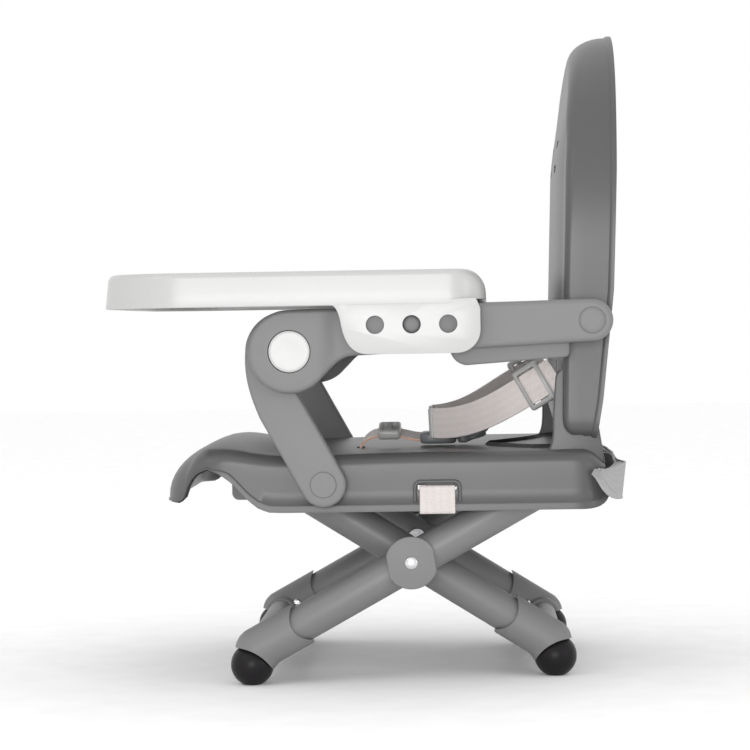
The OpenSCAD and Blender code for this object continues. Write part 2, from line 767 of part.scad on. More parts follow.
// The rubber foot sits below and just outside the tube's end
function foot_centre(foot, way) = [foot[0] + way * foot_out, foot_r - 1];

// The plane between sleeve and rubber rises outwards
module below_parting(c, way) {
    translate([c[0], c[1] + 1]) rotate(way * 28) translate([-60, -60]) square([120, 60]);
}

// Where the screw of a sleeve sits on the tube's axis
function screw_at(foot, top) = toward(foot, top, 24);

module sleeve(x, foot, top, way) {
    slope = atan2(top[1] - foot[1], top[0] - foot[0]);
    c = foot_centre(foot, way);
    at = screw_at(foot, top);
    color(frame_grey) difference() {
        union() {
            translate([x, foot[0], foot[1]]) rotate([slope, 0, 0]) rotate([-90, 0, 0])
                cylinder(r = sleeve_r, h = sleeve_len);
            translate([x, foot[0], foot[1]]) sphere(r = sleeve_r + 0.3);
            translate([x, c[0], c[1] + 1]) sphere(r = foot_r + 0.6);
        }
        // Socket of the tube
        translate([x, foot[0], foot[1]]) rotate([slope, 0, 0]) rotate([-90, 0, 0])
            translate([0, 0, 2.5]) cylinder(r = tube_r + run_fit, h = sleeve_len);
        // Sockets of the bar and of the screw
        rod_x(foot[0], foot[1], bar_r + run_fit, x - sleeve_r - 2, x - tube_r - 0.5);
        rod_x(at[0], at[1], screw_r + run_fit, x - sleeve_r - 2, x - tube_r + 2);
        // The rubber foot sits below the parting plane
        side_plate(x - 40, x + 40) intersection() {
            below_parting(c, way);
            translate([c[0] - foot_r * 1.6, -10]) square([foot_r * 3.2, foot_r * 3]);
        }
    }
}

module foot(x, foot, top, way) {
    slope = atan2(top[1] - foot[1], top[0] - foot[0]);
    c = foot_centre(foot, way);
    color(rubber_black) difference() {
        intersection() {
            translate([x, c[0], c[1]]) sphere(r = foot_r);
            side_plate(x - 40, x + 40) translate([0, -0.05]) below_parting(c, way);
            translate([x - 40, c[0] - 40, 0]) cube([80, 80, 80]);
        }
        translate([x, foot[0], foot[1]]) rotate([slope, 0, 0]) rotate([-90, 0, 0])
            translate([0, 0, 2.5]) cylinder(r = tube_r + 0.2, h = sleeve_len);
        rod_x(foot[0], foot[1], bar_r + 0.3, x - sleeve_r - 2, x - tube_r - 0.4);
    }
}

module cross_discs() {
    disc_x0 = front_leg_x + tube_r + 0.3;
    color(frame_grey) both_sides() {
        difference() {
            side_plate(disc_x0, disc_x0 + 2.4) intersection() {
                translate([cross_y, cross_z]) circle(r = 18.5);
                translate([cross_y, cross_z]) rotate(8) translate([-16.7, -20]) square([33.4, 40]);
            }
            rod_x(cross_y, cross_z, pivot_r, disc_x0 - 1, disc_x0 + 5);
        }
        // Spacer between the two legs
        difference() {
            rod_x(cross_y, cross_z, 11, rear_leg_x + tube_r + 0.3, front_leg_x - tube_r - 0.3);
            rod_x(cross_y, cross_z, pivot_r, rear_leg_x, front_leg_x);
        }
    }
}

module cross_rivets() {
    head_x = front_leg_x + tube_r + 2.8;
    color(steel) both_sides() {
        rod_x(cross_y, cross_z, pivot_r - run_fit, rear_leg_x - tube_r - 1.5, head_x);
        // Domed head outside, flat head inside
        translate([head_x - 0.1, cross_y, cross_z]) rotate([0, 90, 0])
            rotate_extrude() polygon(concat([[0, 0]], [for (a = [0:15:90]) [4.7 * cos(a), 3 * sin(a)]]));
        rod_x(cross_y, cross_z, 7, rear_leg_x - tube_r - 3, rear_leg_x - tube_r - 1);
    }
}

module track_pins() {
    color(steel) both_sides()
        rod_x(rear_top_y, leg_top_z, track_pin_r - run_fit, rear_leg_x - tube_r - 9, rear_leg_x + tube_r);
}

// A cross-head screw through each sleeve, on its inner side
module sleeve_screws(x, foot, top) {
    at = screw_at(foot, top);
    color(steel) both_sides() difference() {
        union() {
            rod_x(at[0], at[1], screw_r, x - sleeve_r - 0.2, x - tube_r - 0.05);
            rod_x(at[0], at[1], 3.4, x - sleeve_r - 1.6, x - sleeve_r - 0.1);
        }
        for (turn = [0, 90])
            translate([x - sleeve_r - 1.6, at[0], at[1]]) rotate([turn, 0, 0])
                cube([1.2, 4, 0.8], center = true);
    }
}

// ---------------------------------------------------------------- the chair

seat_shell();
leg_track(1);  // leg_track_left
leg_track(-1);  // leg_track_right
leg_bracket(1);  // leg_bracket_left
leg_bracket(-1);  // leg_bracket_right
front_catch();
back_hinge_pins();
strut_pins();
side_strap(1);  // side_strap_left
side_strap(-1);  // side_strap_right
rear_strap();
waist_strap(1);  // waist_strap_left
waist_strap(-1);  // waist_strap_right
waist_adjuster(1);  // waist_adjuster_left
waist_adjuster(-1);  // waist_adjuster_right
crotch_strap();
crotch_adjuster();
buckle_socket();
buckle_clip();
back_shell();
arm_pins();
strut(1);  // strut_left
strut(-1);  // strut_right
armrest(1);  // armrest_left
armrest(-1);  // armrest_right
arm_liner(1);  // arm_liner_left
arm_liner(-1);  // arm_liner_right
arm_caps();
fold_button(1);  // fold_button_left
fold_button(-1);  // fold_button_right
fold_spring(1);  // fold_spring_left
fold_spring(-1);  // fold_spring_right
peg_plate(1);  // peg_plate_left
peg_plate(-1);  // peg_plate_right
lock_peg(1);  // lock_peg_left
lock_peg(-1);  // lock_peg_right
peg_spring(1);  // peg_spring_left
peg_spring(-1);  // peg_spring_right
tray();
front_leg(1);  // front_leg_left
front_leg(-1);  // front_leg_right
foot_bar(front_leg_x, front_foot);  // front_foot_bar
sleeve(front_leg_x, front_foot, front_top, -1);  // front_sleeve_left
on_side(-1) sleeve(front_leg_x, front_foot, front_top, -1);  // front_sleeve_right
foot(front_leg_x, front_foot, front_top, -1);  // front_foot_left
on_side(-1) foot(front_leg_x, front_foot, front_top, -1);  // front_foot_right
cross_discs();
cross_rivets();
rear_leg(1);  // rear_leg_left
rear_leg(-1);  // rear_leg_right
foot_bar(rear_leg_x, rear_foot);  // rear_foot_bar
sleeve(rear_leg_x, rear_foot, rear_top, 1);  // rear_sleeve_left
on_side(-1) sleeve(rear_leg_x, rear_foot, rear_top, 1);  // rear_sleeve_right
foot(rear_leg_x, rear_foot, rear_top, 1);  // rear_foot_left
on_side(-1) foot(rear_leg_x, rear_foot, rear_top, 1);  // rear_foot_right
track_pins();
sleeve_screws(front_leg_x, front_foot, front_top);  // sleeve_screws_front
sleeve_screws(rear_leg_x, rear_foot, rear_top);  // sleeve_screws_rear
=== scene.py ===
import json
import math

import bmesh
import bpy
import numpy as np
from bpy.props import FloatProperty, FloatVectorProperty, PointerProperty
from mathutils import Matrix, Vector


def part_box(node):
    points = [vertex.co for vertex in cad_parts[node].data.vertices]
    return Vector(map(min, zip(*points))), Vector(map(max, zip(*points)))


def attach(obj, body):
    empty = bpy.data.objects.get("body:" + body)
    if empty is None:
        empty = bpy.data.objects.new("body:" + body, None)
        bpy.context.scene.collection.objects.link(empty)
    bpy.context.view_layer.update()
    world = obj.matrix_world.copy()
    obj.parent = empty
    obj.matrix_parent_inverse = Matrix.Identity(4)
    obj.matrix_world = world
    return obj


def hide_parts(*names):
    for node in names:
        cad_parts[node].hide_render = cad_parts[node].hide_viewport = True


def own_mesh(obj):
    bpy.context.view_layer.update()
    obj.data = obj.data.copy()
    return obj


bl_info = {
    "name": "Folding Booster High Chair",
    "version": (1, 0, 0),
    "blender": (4, 5, 0),
    "location": "View3D > Sidebar > High Chair",
    "description": "Builds the visible pieces of a folding booster high chair round its packed frame",
    "category": "Add Mesh",
}

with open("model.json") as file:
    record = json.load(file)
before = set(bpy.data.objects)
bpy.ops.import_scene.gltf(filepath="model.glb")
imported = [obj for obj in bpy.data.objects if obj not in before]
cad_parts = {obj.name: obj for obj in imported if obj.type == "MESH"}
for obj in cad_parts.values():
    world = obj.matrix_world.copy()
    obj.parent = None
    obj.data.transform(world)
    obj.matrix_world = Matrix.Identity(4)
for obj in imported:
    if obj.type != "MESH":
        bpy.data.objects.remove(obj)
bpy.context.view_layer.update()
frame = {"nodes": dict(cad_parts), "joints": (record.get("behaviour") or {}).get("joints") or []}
MM = 0.001

# ------------------------------------------------------------ places, in mm

JOINTS = {j["name"]: j for j in frame["joints"]}


def joint_yz(name):
    """A hinge's place in the side view: [y, z]."""
    return np.array(JOINTS[name]["pos_m"][1:]) / MM


def span(node):
    """A node's lowest and highest corners."""
    low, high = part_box(node)
    return np.array(low) / MM, np.array(high) / MM


HINGE = joint_yz("back_fold")
STRUT_FOOT = joint_yz("strut_swing")
HUB = joint_yz("arm_swing")
LEG_TOP = joint_yz("leg_fold")
CROSS = joint_yz("cross_fold")
SEAT_LOW, SEAT_HIGH = span("seat_shell")
BACK_LOW, BACK_HIGH = span("back_shell")
TRAY_LOW, TRAY_HIGH = span("tray")
ARM_LOW, ARM_HIGH = span("armrest_left")
CAP_LOW, CAP_HIGH = span("arm_caps")
ARM_REAR = (CAP_LOW[1:] + CAP_HIGH[1:]) / 2
SEAT_X = SEAT_HIGH[0] - 1
SEAT_TOP = HINGE[1] - 22
RIM = SEAT_LOW[2]
SLOT_Y = (span("side_strap_left")[0][1] + span("side_strap_left")[1][1]) / 2
CROTCH_Y = span("crotch_strap")[0][1] + 1
# The waist straps end just behind the back panel
WAIST_END = HINGE[0] - 13.5


# ------------------------------------------------------------------ helpers


def linear(hexa):
    """An sRGB hex colour as linear RGBA."""
    srgb = [int(hexa[i:i + 2], 16) / 255 for i in (1, 3, 5)]
    return [c / 12.92 if c <= 0.04045 else ((c + 0.055) / 1.055) ** 2.4 for c in srgb] + [1.0]


def smooth(t):
    """0 below 0, 1 above 1 and an easy S between."""
    t = np.clip(t, 0.0, 1.0)
    return t * t * (3 - 2 * t)


def arc(centre, radius, start, end, n=10):
    """Points of an arc, in degrees."""
    angles = np.radians(np.linspace(start, end, n + 1))
    return [(centre[0] + radius * math.cos(a), centre[1] + radius * math.sin(a)) for a in angles]


def cubic(a, b, c, d, n=10):
    """Points of a cubic curve with two handles."""
    a, b, c, d = (np.array(p, float) for p in (a, b, c, d))
    steps = np.linspace(0, 1, n + 1)
    return [tuple((1 - t) ** 3 * a + 3 * (1 - t) ** 2 * t * b + 3 * (1 - t) * t * t * c + t ** 3 * d)
            for t in steps]


def even(points, spacing, closed=True):
    """The same line, with points a spacing apart."""
    p = np.array(points, float)
    if closed:
        p = np.vstack([p, p[:1]])
    step = np.linalg.norm(np.diff(p, axis=0), axis=1)
    p = p[np.concatenate([[True], step > 1e-6])]
    run = np.concatenate([[0], np.cumsum(np.linalg.norm(np.diff(p, axis=0), axis=1))])
    count = max(8, int(round(run[-1] / spacing)))
    at = np.linspace(0, run[-1], count + 1)
    out = np.stack([np.interp(at, run, p[:, k]) for k in range(p.shape[1])], 1)
    return out[:-1] if closed else out


def inward(points):
    """Unit normals that point into a closed outline drawn anticlockwise."""
    t = np.roll(points, -1, 0) - np.roll(points, 1, 0)
    n = np.stack([-t[:, 1], t[:, 0]], 1)
    return n / np.linalg.norm(n, axis=1)[:, None]


def new_object(name, verts, faces, material, sharp=35):
    """A mesh object from points in mm, with smooth faces and sharp creases."""
    mesh = bpy.data.meshes.new(name)
    mesh.from_pydata((np.array(verts, float) * MM).tolist(), [], faces)
    bm = bmesh.new()
    bm.from_mesh(mesh)
    bmesh.ops.remove_doubles(bm, verts=bm.verts, dist=1e-6)
    bmesh.ops.dissolve_degenerate(bm, edges=bm.edges, dist=1e-7)
    bmesh.ops.recalc_face_normals(bm, faces=bm.faces)
    bm.to_mesh(mesh)
    bm.free()
    obj = link(name, mesh)
    mesh.materials.append(material)
    crease(obj, sharp)
    return obj


def crease(obj, sharp=35):
    """Smooth shading, with edges sharper than an angle kept crisp."""
    obj.data.shade_smooth()
    obj.data.set_sharp_from_angle(angle=math.radians(sharp))


def settle(obj, sharp=None):
    """Turns an object's modifiers into its mesh."""
    bpy.context.view_layer.update()
    evaluated = obj.evaluated_get(bpy.context.evaluated_depsgraph_get())
    mesh = bpy.data.meshes.new_from_object(evaluated)
    old = obj.data
    obj.modifiers.clear()
    obj.data = mesh
    bpy.data.meshes.remove(old)
    if sharp:
        crease(obj, sharp)
    return obj


def ring_faces(rings, count, close_ends=False):
    """Faces between rings of count points each."""
    faces = []
    for r in range(rings - 1):
        for k in range(count):
            a, b = r * count + k, r * count + (k + 1) % count
            faces.append((a, b, b + count, a + count))
    if close_ends:
        faces.append(tuple(range(count))[::-1])
        faces.append(tuple((rings - 1) * count + k for k in range(count)))
    return faces


def skin(name, rings, material, thickness, sharp=35):
    """An open moulded shell from closed rings, given a wall on its inner side."""
    obj = new_object(name, np.vstack(rings), ring_faces(len(rings), len(rings[0])), material, sharp)
    wall = obj.modifiers.new("Wall", "SOLIDIFY")
    wall.thickness, wall.offset = thickness * MM, -1
    wall.use_even_offset = False
    return settle(obj, sharp)


def plate(name, outline, x0, x1, rounding, material, segments=4, sharp=35, both=True):
    """A side-view outline [y, z] given thickness along X, with rounded edges."""
    outline = [tuple(p) for p in outline]
    n = len(outline)
    verts = [(x0, y, z) for y, z in outline] + [(x1, y, z) for y, z in outline]
    faces = ring_faces(2, n) + [tuple(range(n)), tuple(range(n, 2 * n))]
    obj = new_object(name, verts, faces, material, sharp)
    if rounding:
        bm = bmesh.new()
        bm.from_mesh(obj.data)
        planes = (x0 * MM, x1 * MM) if both else (x1 * MM,)
        rim = [e for e in bm.edges
               if any(all(abs(v.co.x - p) < 1e-7 for v in e.verts) for p in planes)]
        bmesh.ops.bevel(bm, geom=rim, offset=rounding * MM, segments=segments, profile=0.5,
                        affect="EDGES", clamp_overlap=True)
        bm.to_mesh(obj.data)
        bm.free()
        crease(obj, sharp)
    return obj


def lathe(name, profile, yz, material, sharp=35, n=64):
    """A profile [x, radius] turned about a line along X at [y, z]."""
    rings = []
    for x, r in profile:
        rings.append(circle(x, yz, r, n))
    return new_object(name, np.vstack(rings), ring_faces(len(rings), n, True), material, sharp)


def circle(x, yz, radius, n):
    """Points round a line along X."""
    return [(x, yz[0] + radius * math.cos(a), yz[1] + radius * math.sin(a))
            for a in np.linspace(0, 2 * math.pi, n, endpoint=False)]


def block(name, low, high, material=None, rounding=0.0, segments=3):
    """A box between two corners, with rounded edges."""
    x0, y0, z0 = low
    x1, y1, z1 = high
    verts = [(x, y, z) for x in (x0, x1) for y in (y0, y1) for z in (z0, z1)]
    faces = [(0, 1, 3, 2), (4, 6, 7, 5), (0, 4, 5, 1), (2, 3, 7, 6), (0, 2, 6, 4), (1, 5, 7, 3)]
    obj = new_object(name, verts, faces, material, 60)
    if rounding:
        soften(obj, rounding, segments)
    return obj


def soften(obj, rounding, segments=3, angle=40):
    """Rounds every edge sharper than an angle."""
    edge = obj.modifiers.new("Rounded", "BEVEL")
    edge.width, edge.segments, edge.limit_method = rounding * MM, segments, "ANGLE"
    edge.angle_limit = math.radians(angle)
    return settle(obj, 50)


def rod(name, start, end, radius, material=None, n=48):
    """A closed round bar between two points."""
    start, end = Vector(start), Vector(end)
    turn = (end - start).to_track_quat("Z", "X").to_matrix()
    rings = [[start + turn @ Vector((radius * math.cos(a), radius * math.sin(a), h))
              for a in np.linspace(0, 2 * math.pi, n, endpoint=False)]
             for h in (0, (end - start).length)]
    points = np.array([list(v) for ring in rings for v in ring])
    return new_object(name, points, ring_faces(2, n, True), material, 40)


def combine(obj, others, operation, sharp=35):
    """A boolean of an object with others, which are used up."""
    for other in others:
        mod = obj.modifiers.new(operation, "BOOLEAN")
        mod.operation, mod.object, mod.solver = operation, other, "MANIFOLD"
    settle(obj, sharp)
    for other in others:
        bpy.data.objects.remove(other)
    return obj


def join(obj, others, sharp=35):
    """Adds other meshes to an object as they are."""
    bm = bmesh.new()
    bm.from_mesh(obj.data)
    for other in others:
        bm.from_mesh(other.data)
        bpy.data.objects.remove(other)
    bm.to_mesh(obj.data)
    bm.free()
    crease(obj, sharp)
    return obj


def remesh(obj, voxel, rounds):
    """One even skin over everything in the object, with its corners eased."""
    even_skin = obj.modifiers.new("Skin", "REMESH")
    even_skin.mode, even_skin.voxel_size = "VOXEL", voxel * MM
    ease = obj.modifiers.new("Ease", "SMOOTH")
    ease.factor, ease.iterations = 0.5, rounds
    return settle(obj, 180)


def mirrored(obj, name):
    """A copy of an object on the other side of the chair."""
    mesh = obj.data.copy()
    mesh.transform(Matrix.Scale(-1, 4, (1, 0, 0)))
    mesh.flip_normals()
    return link(name, mesh)


def finish_piece(obj, body, slot, *nodes):
    """Hands a piece to the frame: its body and what it stands for; its finish, slot, is not used."""
    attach(obj, body)
    if nodes:
        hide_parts(*nodes)
    return obj


def both_sides(obj, body, slot, *stems, bodies=None):
    """A left piece and its right twin, which stand for stem_left and stem_right."""
    base = obj.name.removesuffix("_left")
    twin = mirrored(obj, base + "_right")
    for piece, side in ((obj, "left"), (twin, "right")):
        own = bodies.format(side) if bodies else body
        finish_piece(piece, own, slot, *[f"{s}_{side}" for s in stems])
    return obj, twin


def pair(obj, body, slot, node):
    """A left piece and its right twin, which stand for one node together."""
    for piece in (obj, mirrored(obj, obj.name.replace("_left", "_right"))):
        finish_piece(piece, body, slot, node)


def link(name, mesh):
    """A new object for a mesh, in the scene."""
    obj = bpy.data.objects.new(name, mesh)
    bpy.context.scene.collection.objects.link(obj)
    return obj


def side_blocks(x0, x1, low, high, rounding):
    """Two blocks, one on each side, between x0 and x1 and two corners [y, z]."""
    blocks = []
    for way in (-1, 1):
        a, b = sorted((way * x0, way * x1))
        blocks.append(block("cut", (a, *low), (b, *high), rounding=rounding))
    return blocks


# ---------------------------------------------------------------- materials


def add(tree, kind, at=(0, 0), values=None, **settings):
    """Adds a node. values sets or links its inputs: a socket is linked, a value is set."""
    node = tree.nodes.new(kind)
    node.location = at
    for key, value in settings.items():
        setattr(node, key, value)
    for key, value in (values or {}).items():
        if isinstance(value, bpy.types.NodeSocket):
            tree.links.new(value, node.inputs[key])
        else:
            node.inputs[key].default_value = value
    return node


def ramp(tree, factor, stops):
    """A colour ramp from [position, colour] stops."""
    node = add(tree, "ShaderNodeValToRGB", values={"Fac": factor})
    elements = node.color_ramp.elements
    while len(elements) < len(stops):
        elements.new(0.5)
    for element, (position, colour) in zip(elements, stops):
        element.position, element.color = position, colour
    return node.outputs["Color"]


def bare_material(name):
    """A new material and its empty node tree."""
    mat = bpy.data.materials.new(name)
    mat.use_nodes = True
    mat.node_tree.nodes.clear()
    return mat, mat.node_tree


def shade(colour, factor):
    """A colour made lighter or darker."""
    return [min(1.0, c * factor) for c in colour[:3]] + [1.0]


def moulded(name, colour, roughness, grain_mm, bump, spread=0.04, coat=0.0, ior=1.49):
    """A moulded plastic: faint flow marks in its colour, a fine tool grain in its surface."""
    mat, tree = bare_material(name)
    where = add(tree, "ShaderNodeTexCoord").outputs["Object"]
    flow = add(tree, "ShaderNodeTexNoise",
               values={"Vector": where, "Scale": 1 / 0.09, "Detail": 3.0, "Roughness": 0.55})
    grain = add(tree, "ShaderNodeTexNoise",
                values={"Vector": where, "Scale": 1000 / grain_mm, "Detail": 2.0, "Roughness": 0.6})
    tint = ramp(tree, flow.outputs["Fac"],
                [(0.3, shade(colour, 1 - spread)), (0.7, shade(colour, 1 + spread))])
    rough = add(tree, "ShaderNodeMapRange", values={
        "Value": grain.outputs["Fac"], "From Min": 0.3, "From Max": 0.7,
        "To Min": roughness - 0.04, "To Max": roughness + 0.05})
    relief = add(tree, "ShaderNodeBump", values={
        "Height": grain.outputs["Fac"], "Strength": bump, "Distance": grain_mm * MM * 0.12})
    skin_node = add(tree, "ShaderNodeBsdfPrincipled", values={
        "Base Color": tint, "Roughness": rough.outputs["Result"], "Normal": relief.outputs["Normal"],
        "IOR": ior, "Coat Weight": coat, "Coat Roughness": 0.2})
    add(tree, "ShaderNodeOutputMaterial", values={"Surface": skin_node.outputs["BSDF"]})
    return mat


def plated(name, colour, roughness):
    """Bright plated steel: a metal with faint polishing haze."""
    mat, tree = bare_material(name)
    where = add(tree, "ShaderNodeTexCoord").outputs["Object"]
    haze = add(tree, "ShaderNodeTexNoise", values={"Vector": where, "Scale": 1000 / 3.0, "Detail": 4.0})
    rough = add(tree, "ShaderNodeMapRange", values={
        "Value": haze.outputs["Fac"], "To Min": roughness, "To Max": roughness + 0.12})
    metal = add(tree, "ShaderNodeBsdfPrincipled", values={
        "Base Color": colour, "Metallic": 1.0, "Roughness": rough.outputs["Result"]})
    add(tree, "ShaderNodeOutputMaterial", values={"Surface": metal.outputs["BSDF"]})
    return mat


def woven(name, colour, edge_colour, width_mm, thread_mm=1.25, lean=0.5):
    """Herringbone webbing. Its map's U runs across the band and V along it, both in metres.
    The zigzag ribs are one thread apart, and the last rib at each edge takes the edge colour."""
    mat, tree = bare_material(name)
    uv = add(tree, "ShaderNodeUVMap", uv_map="Band").outputs["UV"]
    split = add(tree, "ShaderNodeSeparateXYZ", values={"Vector": uv})
    across, along = split.outputs["X"], split.outputs["Y"]

    def maths(operation, a, b=0.0, c=0.0):
        node = add(tree, "ShaderNodeMath", operation=operation)
        for socket, value in zip(node.inputs, (a, b, c)):
            if isinstance(value, bpy.types.NodeSocket):
                tree.links.new(value, socket)
            else:
                socket.default_value = value
        return node.outputs[0]

    column = 2.6 * MM
    zigzag = maths("PINGPONG", across, column)
    phase = maths("MULTIPLY", maths("MULTIPLY_ADD", zigzag, lean, along), 2 * math.pi / (thread_mm * MM))
    ribs = maths("MULTIPLY_ADD", maths("SINE", phase), 0.5, 0.5)
    columns = maths("MULTIPLY_ADD", maths("COSINE", maths("MULTIPLY", across, math.pi / column)), 0.5, 0.5)
    height = maths("MULTIPLY_ADD", columns, 0.25, maths("MULTIPLY", ribs, 0.75))
    wear = add(tree, "ShaderNodeTexNoise", values={"Vector": uv, "Scale": 1 / 0.012, "Detail": 3.0})
    # The weave's grooves are painted darker and its ridges lighter: painted shade and painted highlight over
    # the relief that the bump also gives
    thread = ramp(tree, height, [(0.0, shade(colour, 0.88)), (0.75, shade(colour, 1.03))])
    mottled = add(tree, "ShaderNodeMix", data_type="RGBA", blend_type="MULTIPLY")
    tree.links.new(ramp(tree, wear.outputs["Fac"], [(0.3, (0.97, 0.96, 0.96, 1)), (0.7, (1, 1, 1, 1))]),
                   mottled.inputs["B"])
    tree.links.new(thread, mottled.inputs["A"])
    mottled.inputs["Factor"].default_value = 1.0
    from_middle = maths("ABSOLUTE", across)
    at_edge = maths("GREATER_THAN", from_middle, (width_mm / 2 - 0.55) * MM)
    two_tone = add(tree, "ShaderNodeMix", data_type="RGBA")
    tree.links.new(at_edge, two_tone.inputs["Factor"])
    tree.links.new(mottled.outputs["Result"], two_tone.inputs["A"])
    two_tone.inputs["B"].default_value = edge_colour
    relief = add(tree, "ShaderNodeBump", values={"Height": height, "Strength": 0.8, "Distance": 0.35 * MM})
    cloth = add(tree, "ShaderNodeBsdfPrincipled", values={
        "Base Color": two_tone.outputs["Result"], "Roughness": 0.85, "Normal": relief.outputs["Normal"],
        "Sheen Weight": 0.25, "Sheen Roughness": 0.4})
    add(tree, "ShaderNodeOutputMaterial", values={"Surface": cloth.outputs["BSDF"]})
    return mat


MATERIALS = {}


def material(name):
    """One of the chair's finishes, made when it is first asked for."""
    if name in MATERIALS:
        return MATERIALS[name]
    tone = {key: list(getattr(colours(), key)) + [1.0] for key in (
        "shell", "frame", "white", "webbing", "webbing_edge", "rear_webbing", "rubber", "acetal", "steel")}
    make = {
        # Polypropylene from a polished mould: a soft gloss, faint flow marks
        "satin_polypropylene": lambda: moulded(name, tone["shell"], 0.36, 0.5, 0.05, 0.03),
        # The same polypropylene from a spark-eroded mould: an even matt grain
        "matt_polypropylene": lambda: moulded(name, tone["frame"], 0.52, 0.45, 0.10, 0.025),
        # Powder paint on steel tube: slight orange peel
        "powder_coated_steel": lambda: moulded(name, tone["frame"], 0.46, 1.6, 0.12, 0.02, 0.05),
        # Glossy white ABS
        "white_abs": lambda: moulded(name, tone["white"], 0.30, 0.6, 0.03, 0.012, 0.05, 1.53),
        # Dark acetal, slightly waxy
        "acetal": lambda: moulded(name, tone["acetal"], 0.34, 0.5, 0.05, 0.04),
        # Rubber with a fine bloom; its IOR is set below rubber's own so that the feet stay black
        "black_rubber": lambda: moulded(name, tone["rubber"], 0.36, 0.8, 0.10, 0.10, 0.0, 1.25),
        "plated_steel": lambda: plated(name, tone["steel"], 0.16),
        "harness_webbing": lambda: woven(name, tone["webbing"], tone["webbing_edge"], 25.0),
        # The side loops' webbing: the harness webbing's colour darkened as painted shade, because the loops
        # outside stand in more light than the harness inside the chair
        "plain_webbing": lambda: woven(name, shade(tone["webbing"], 0.72),
                                       shade(tone["webbing"], 0.66), 25.0),
        "grey_webbing": lambda: woven(name, tone["rear_webbing"], shade(tone["rear_webbing"], 0.9), 27.0),
    }
    MATERIALS[name] = make[name]()
    return MATERIALS[name]


# ---------------------------------------------------------- sizes and colours


def colour_property(name, description, hexa):
    return FloatVectorProperty(name=name, description=description, subtype="COLOR", size=3,
                               min=0.0, max=1.0, default=linear(hexa)[:3])


def size_property(name, description, default):
    """A size in millimetres."""
    return FloatProperty(name=name, description=description, default=default, min=0.0)


class HighChairColours(bpy.types.PropertyGroup):
    """The colours of the chair's finishes."""
    shell: colour_property("Shell", "Seat and backrest moulding", "#4F4F4F")
    frame: colour_property("Frame", "Armrests, struts and legs", "#737373")
    white: colour_property("White", "Tray, fold buttons and adjusters", "#B4B4B3")
    webbing: colour_property("Webbing", "Harness and side straps", "#F3EBE8")
    webbing_edge: colour_property("Webbing edge", "Edge threads of the harness", "#F2B79A")
    rear_webbing: colour_property("Rear webbing", "Strap behind the seat", "#9E9E9E")
    rubber: colour_property("Rubber", "Feet", "#1D1B1D")
    acetal: colour_property("Acetal", "Buckle", "#7C8082")
    steel: colour_property("Steel", "Rivets, pins and screws", "#D8D8DA")


class HighChairSizes(bpy.types.PropertyGroup):
    """Sizes of the moulded and sewn details, in millimetres."""
    wall: size_property("Wall", "Wall of the seat and the backrest", 2.6)
    hump: size_property("Hump", "Rise between the thighs at the front of the seat", 9.0)
    dish: size_property("Dish", "Depth of the seat's shallow dish", 2.2)
    rim_band: size_property("Rim band", "Height of the band along the seat's lower edge", 5.4)
    bulge: size_property("Bulge", "How far the back panel stands forward in its middle", 5.0)
    arm_edge: size_property("Arm edge", "Edge radius of the armrests and struts", 3.2)
    tray_rim: size_property("Tray rim", "Width of the tray's flat rim", 11.0)
    tray_dish: size_property("Tray dish", "Depth of the tray's dish", 9.5)
    web: size_property("Webbing", "Width of the webbing", 25.0)
    web_t: size_property("Webbing thickness", "Thickness of the webbing", 1.5)


def colours():
    return bpy.context.scene.high_chair_colours


def sizes():
    return bpy.context.scene.high_chair_sizes


# -------------------------------------------------------------- seat shell


def round_rect(x0, x1, y0, y1, low_r, high_r, n=12):
    """A rectangle with one radius at its low corners and one at its high ones."""
    return (arc((x1 - low_r, y0 + low_r), low_r, -90, 0, n)
            + arc((x1 - high_r, y1 - high_r), high_r, 0, 90, n)
            + arc((x0 + high_r, y1 - high_r), high_r, 90, 180, n)
            + arc((x0 + low_r, y0 + low_r), low_r, 180, 270, n))


def to_middle(points, lowest, highest, share):
    """Points drawn a share of the way to the middle line x = 0, between two heights."""
    goal = np.stack([np.zeros(len(points)), np.clip(points[:, 1], lowest, highest)], 1)
    return points + (goal - points) * share


def seat_rim(y):
    """The seat's lower edge along Y: the arch under the lip, a straight run and a rounded rear end."""
    lip = SEAT_LOW[1]
    rear = SEAT_HIGH[1]
    ys = np.append(lip + np.array([0, 10, 14, 17, 22, 31, 40, 49, 59, 66, 74, 84]),
                   rear - np.array([16, 10, 6, 3, 1, 0]))
    zs = RIM + np.array([8, 7.5, 11, 19, 27, 31, 27.5, 21, 10, 3.8, 0.4, 0, 0, 0.9, 2.4, 5, 8, 10])
    return np.interp(y, ys, zs)


def seat_top(x, y):
    """Height of the sitting surface: a shallow dish, and a hump between the thighs."""
    s = sizes()
    side = np.abs(x) / SEAT_X
    dish = s.dish * (1 - side ** 2) * smooth((y + 70) / 40) * smooth((145 - y) / 30)
    hump = s.hump * np.exp(-((y - SEAT_LOW[1] - 40) / 27) ** 2) * (1 - 0.45 * np.clip(side, 0, 1) ** 3)
    ease = 2.0 * smooth((40 - y) / 120)
    return SEAT_TOP - ease - dish + hump


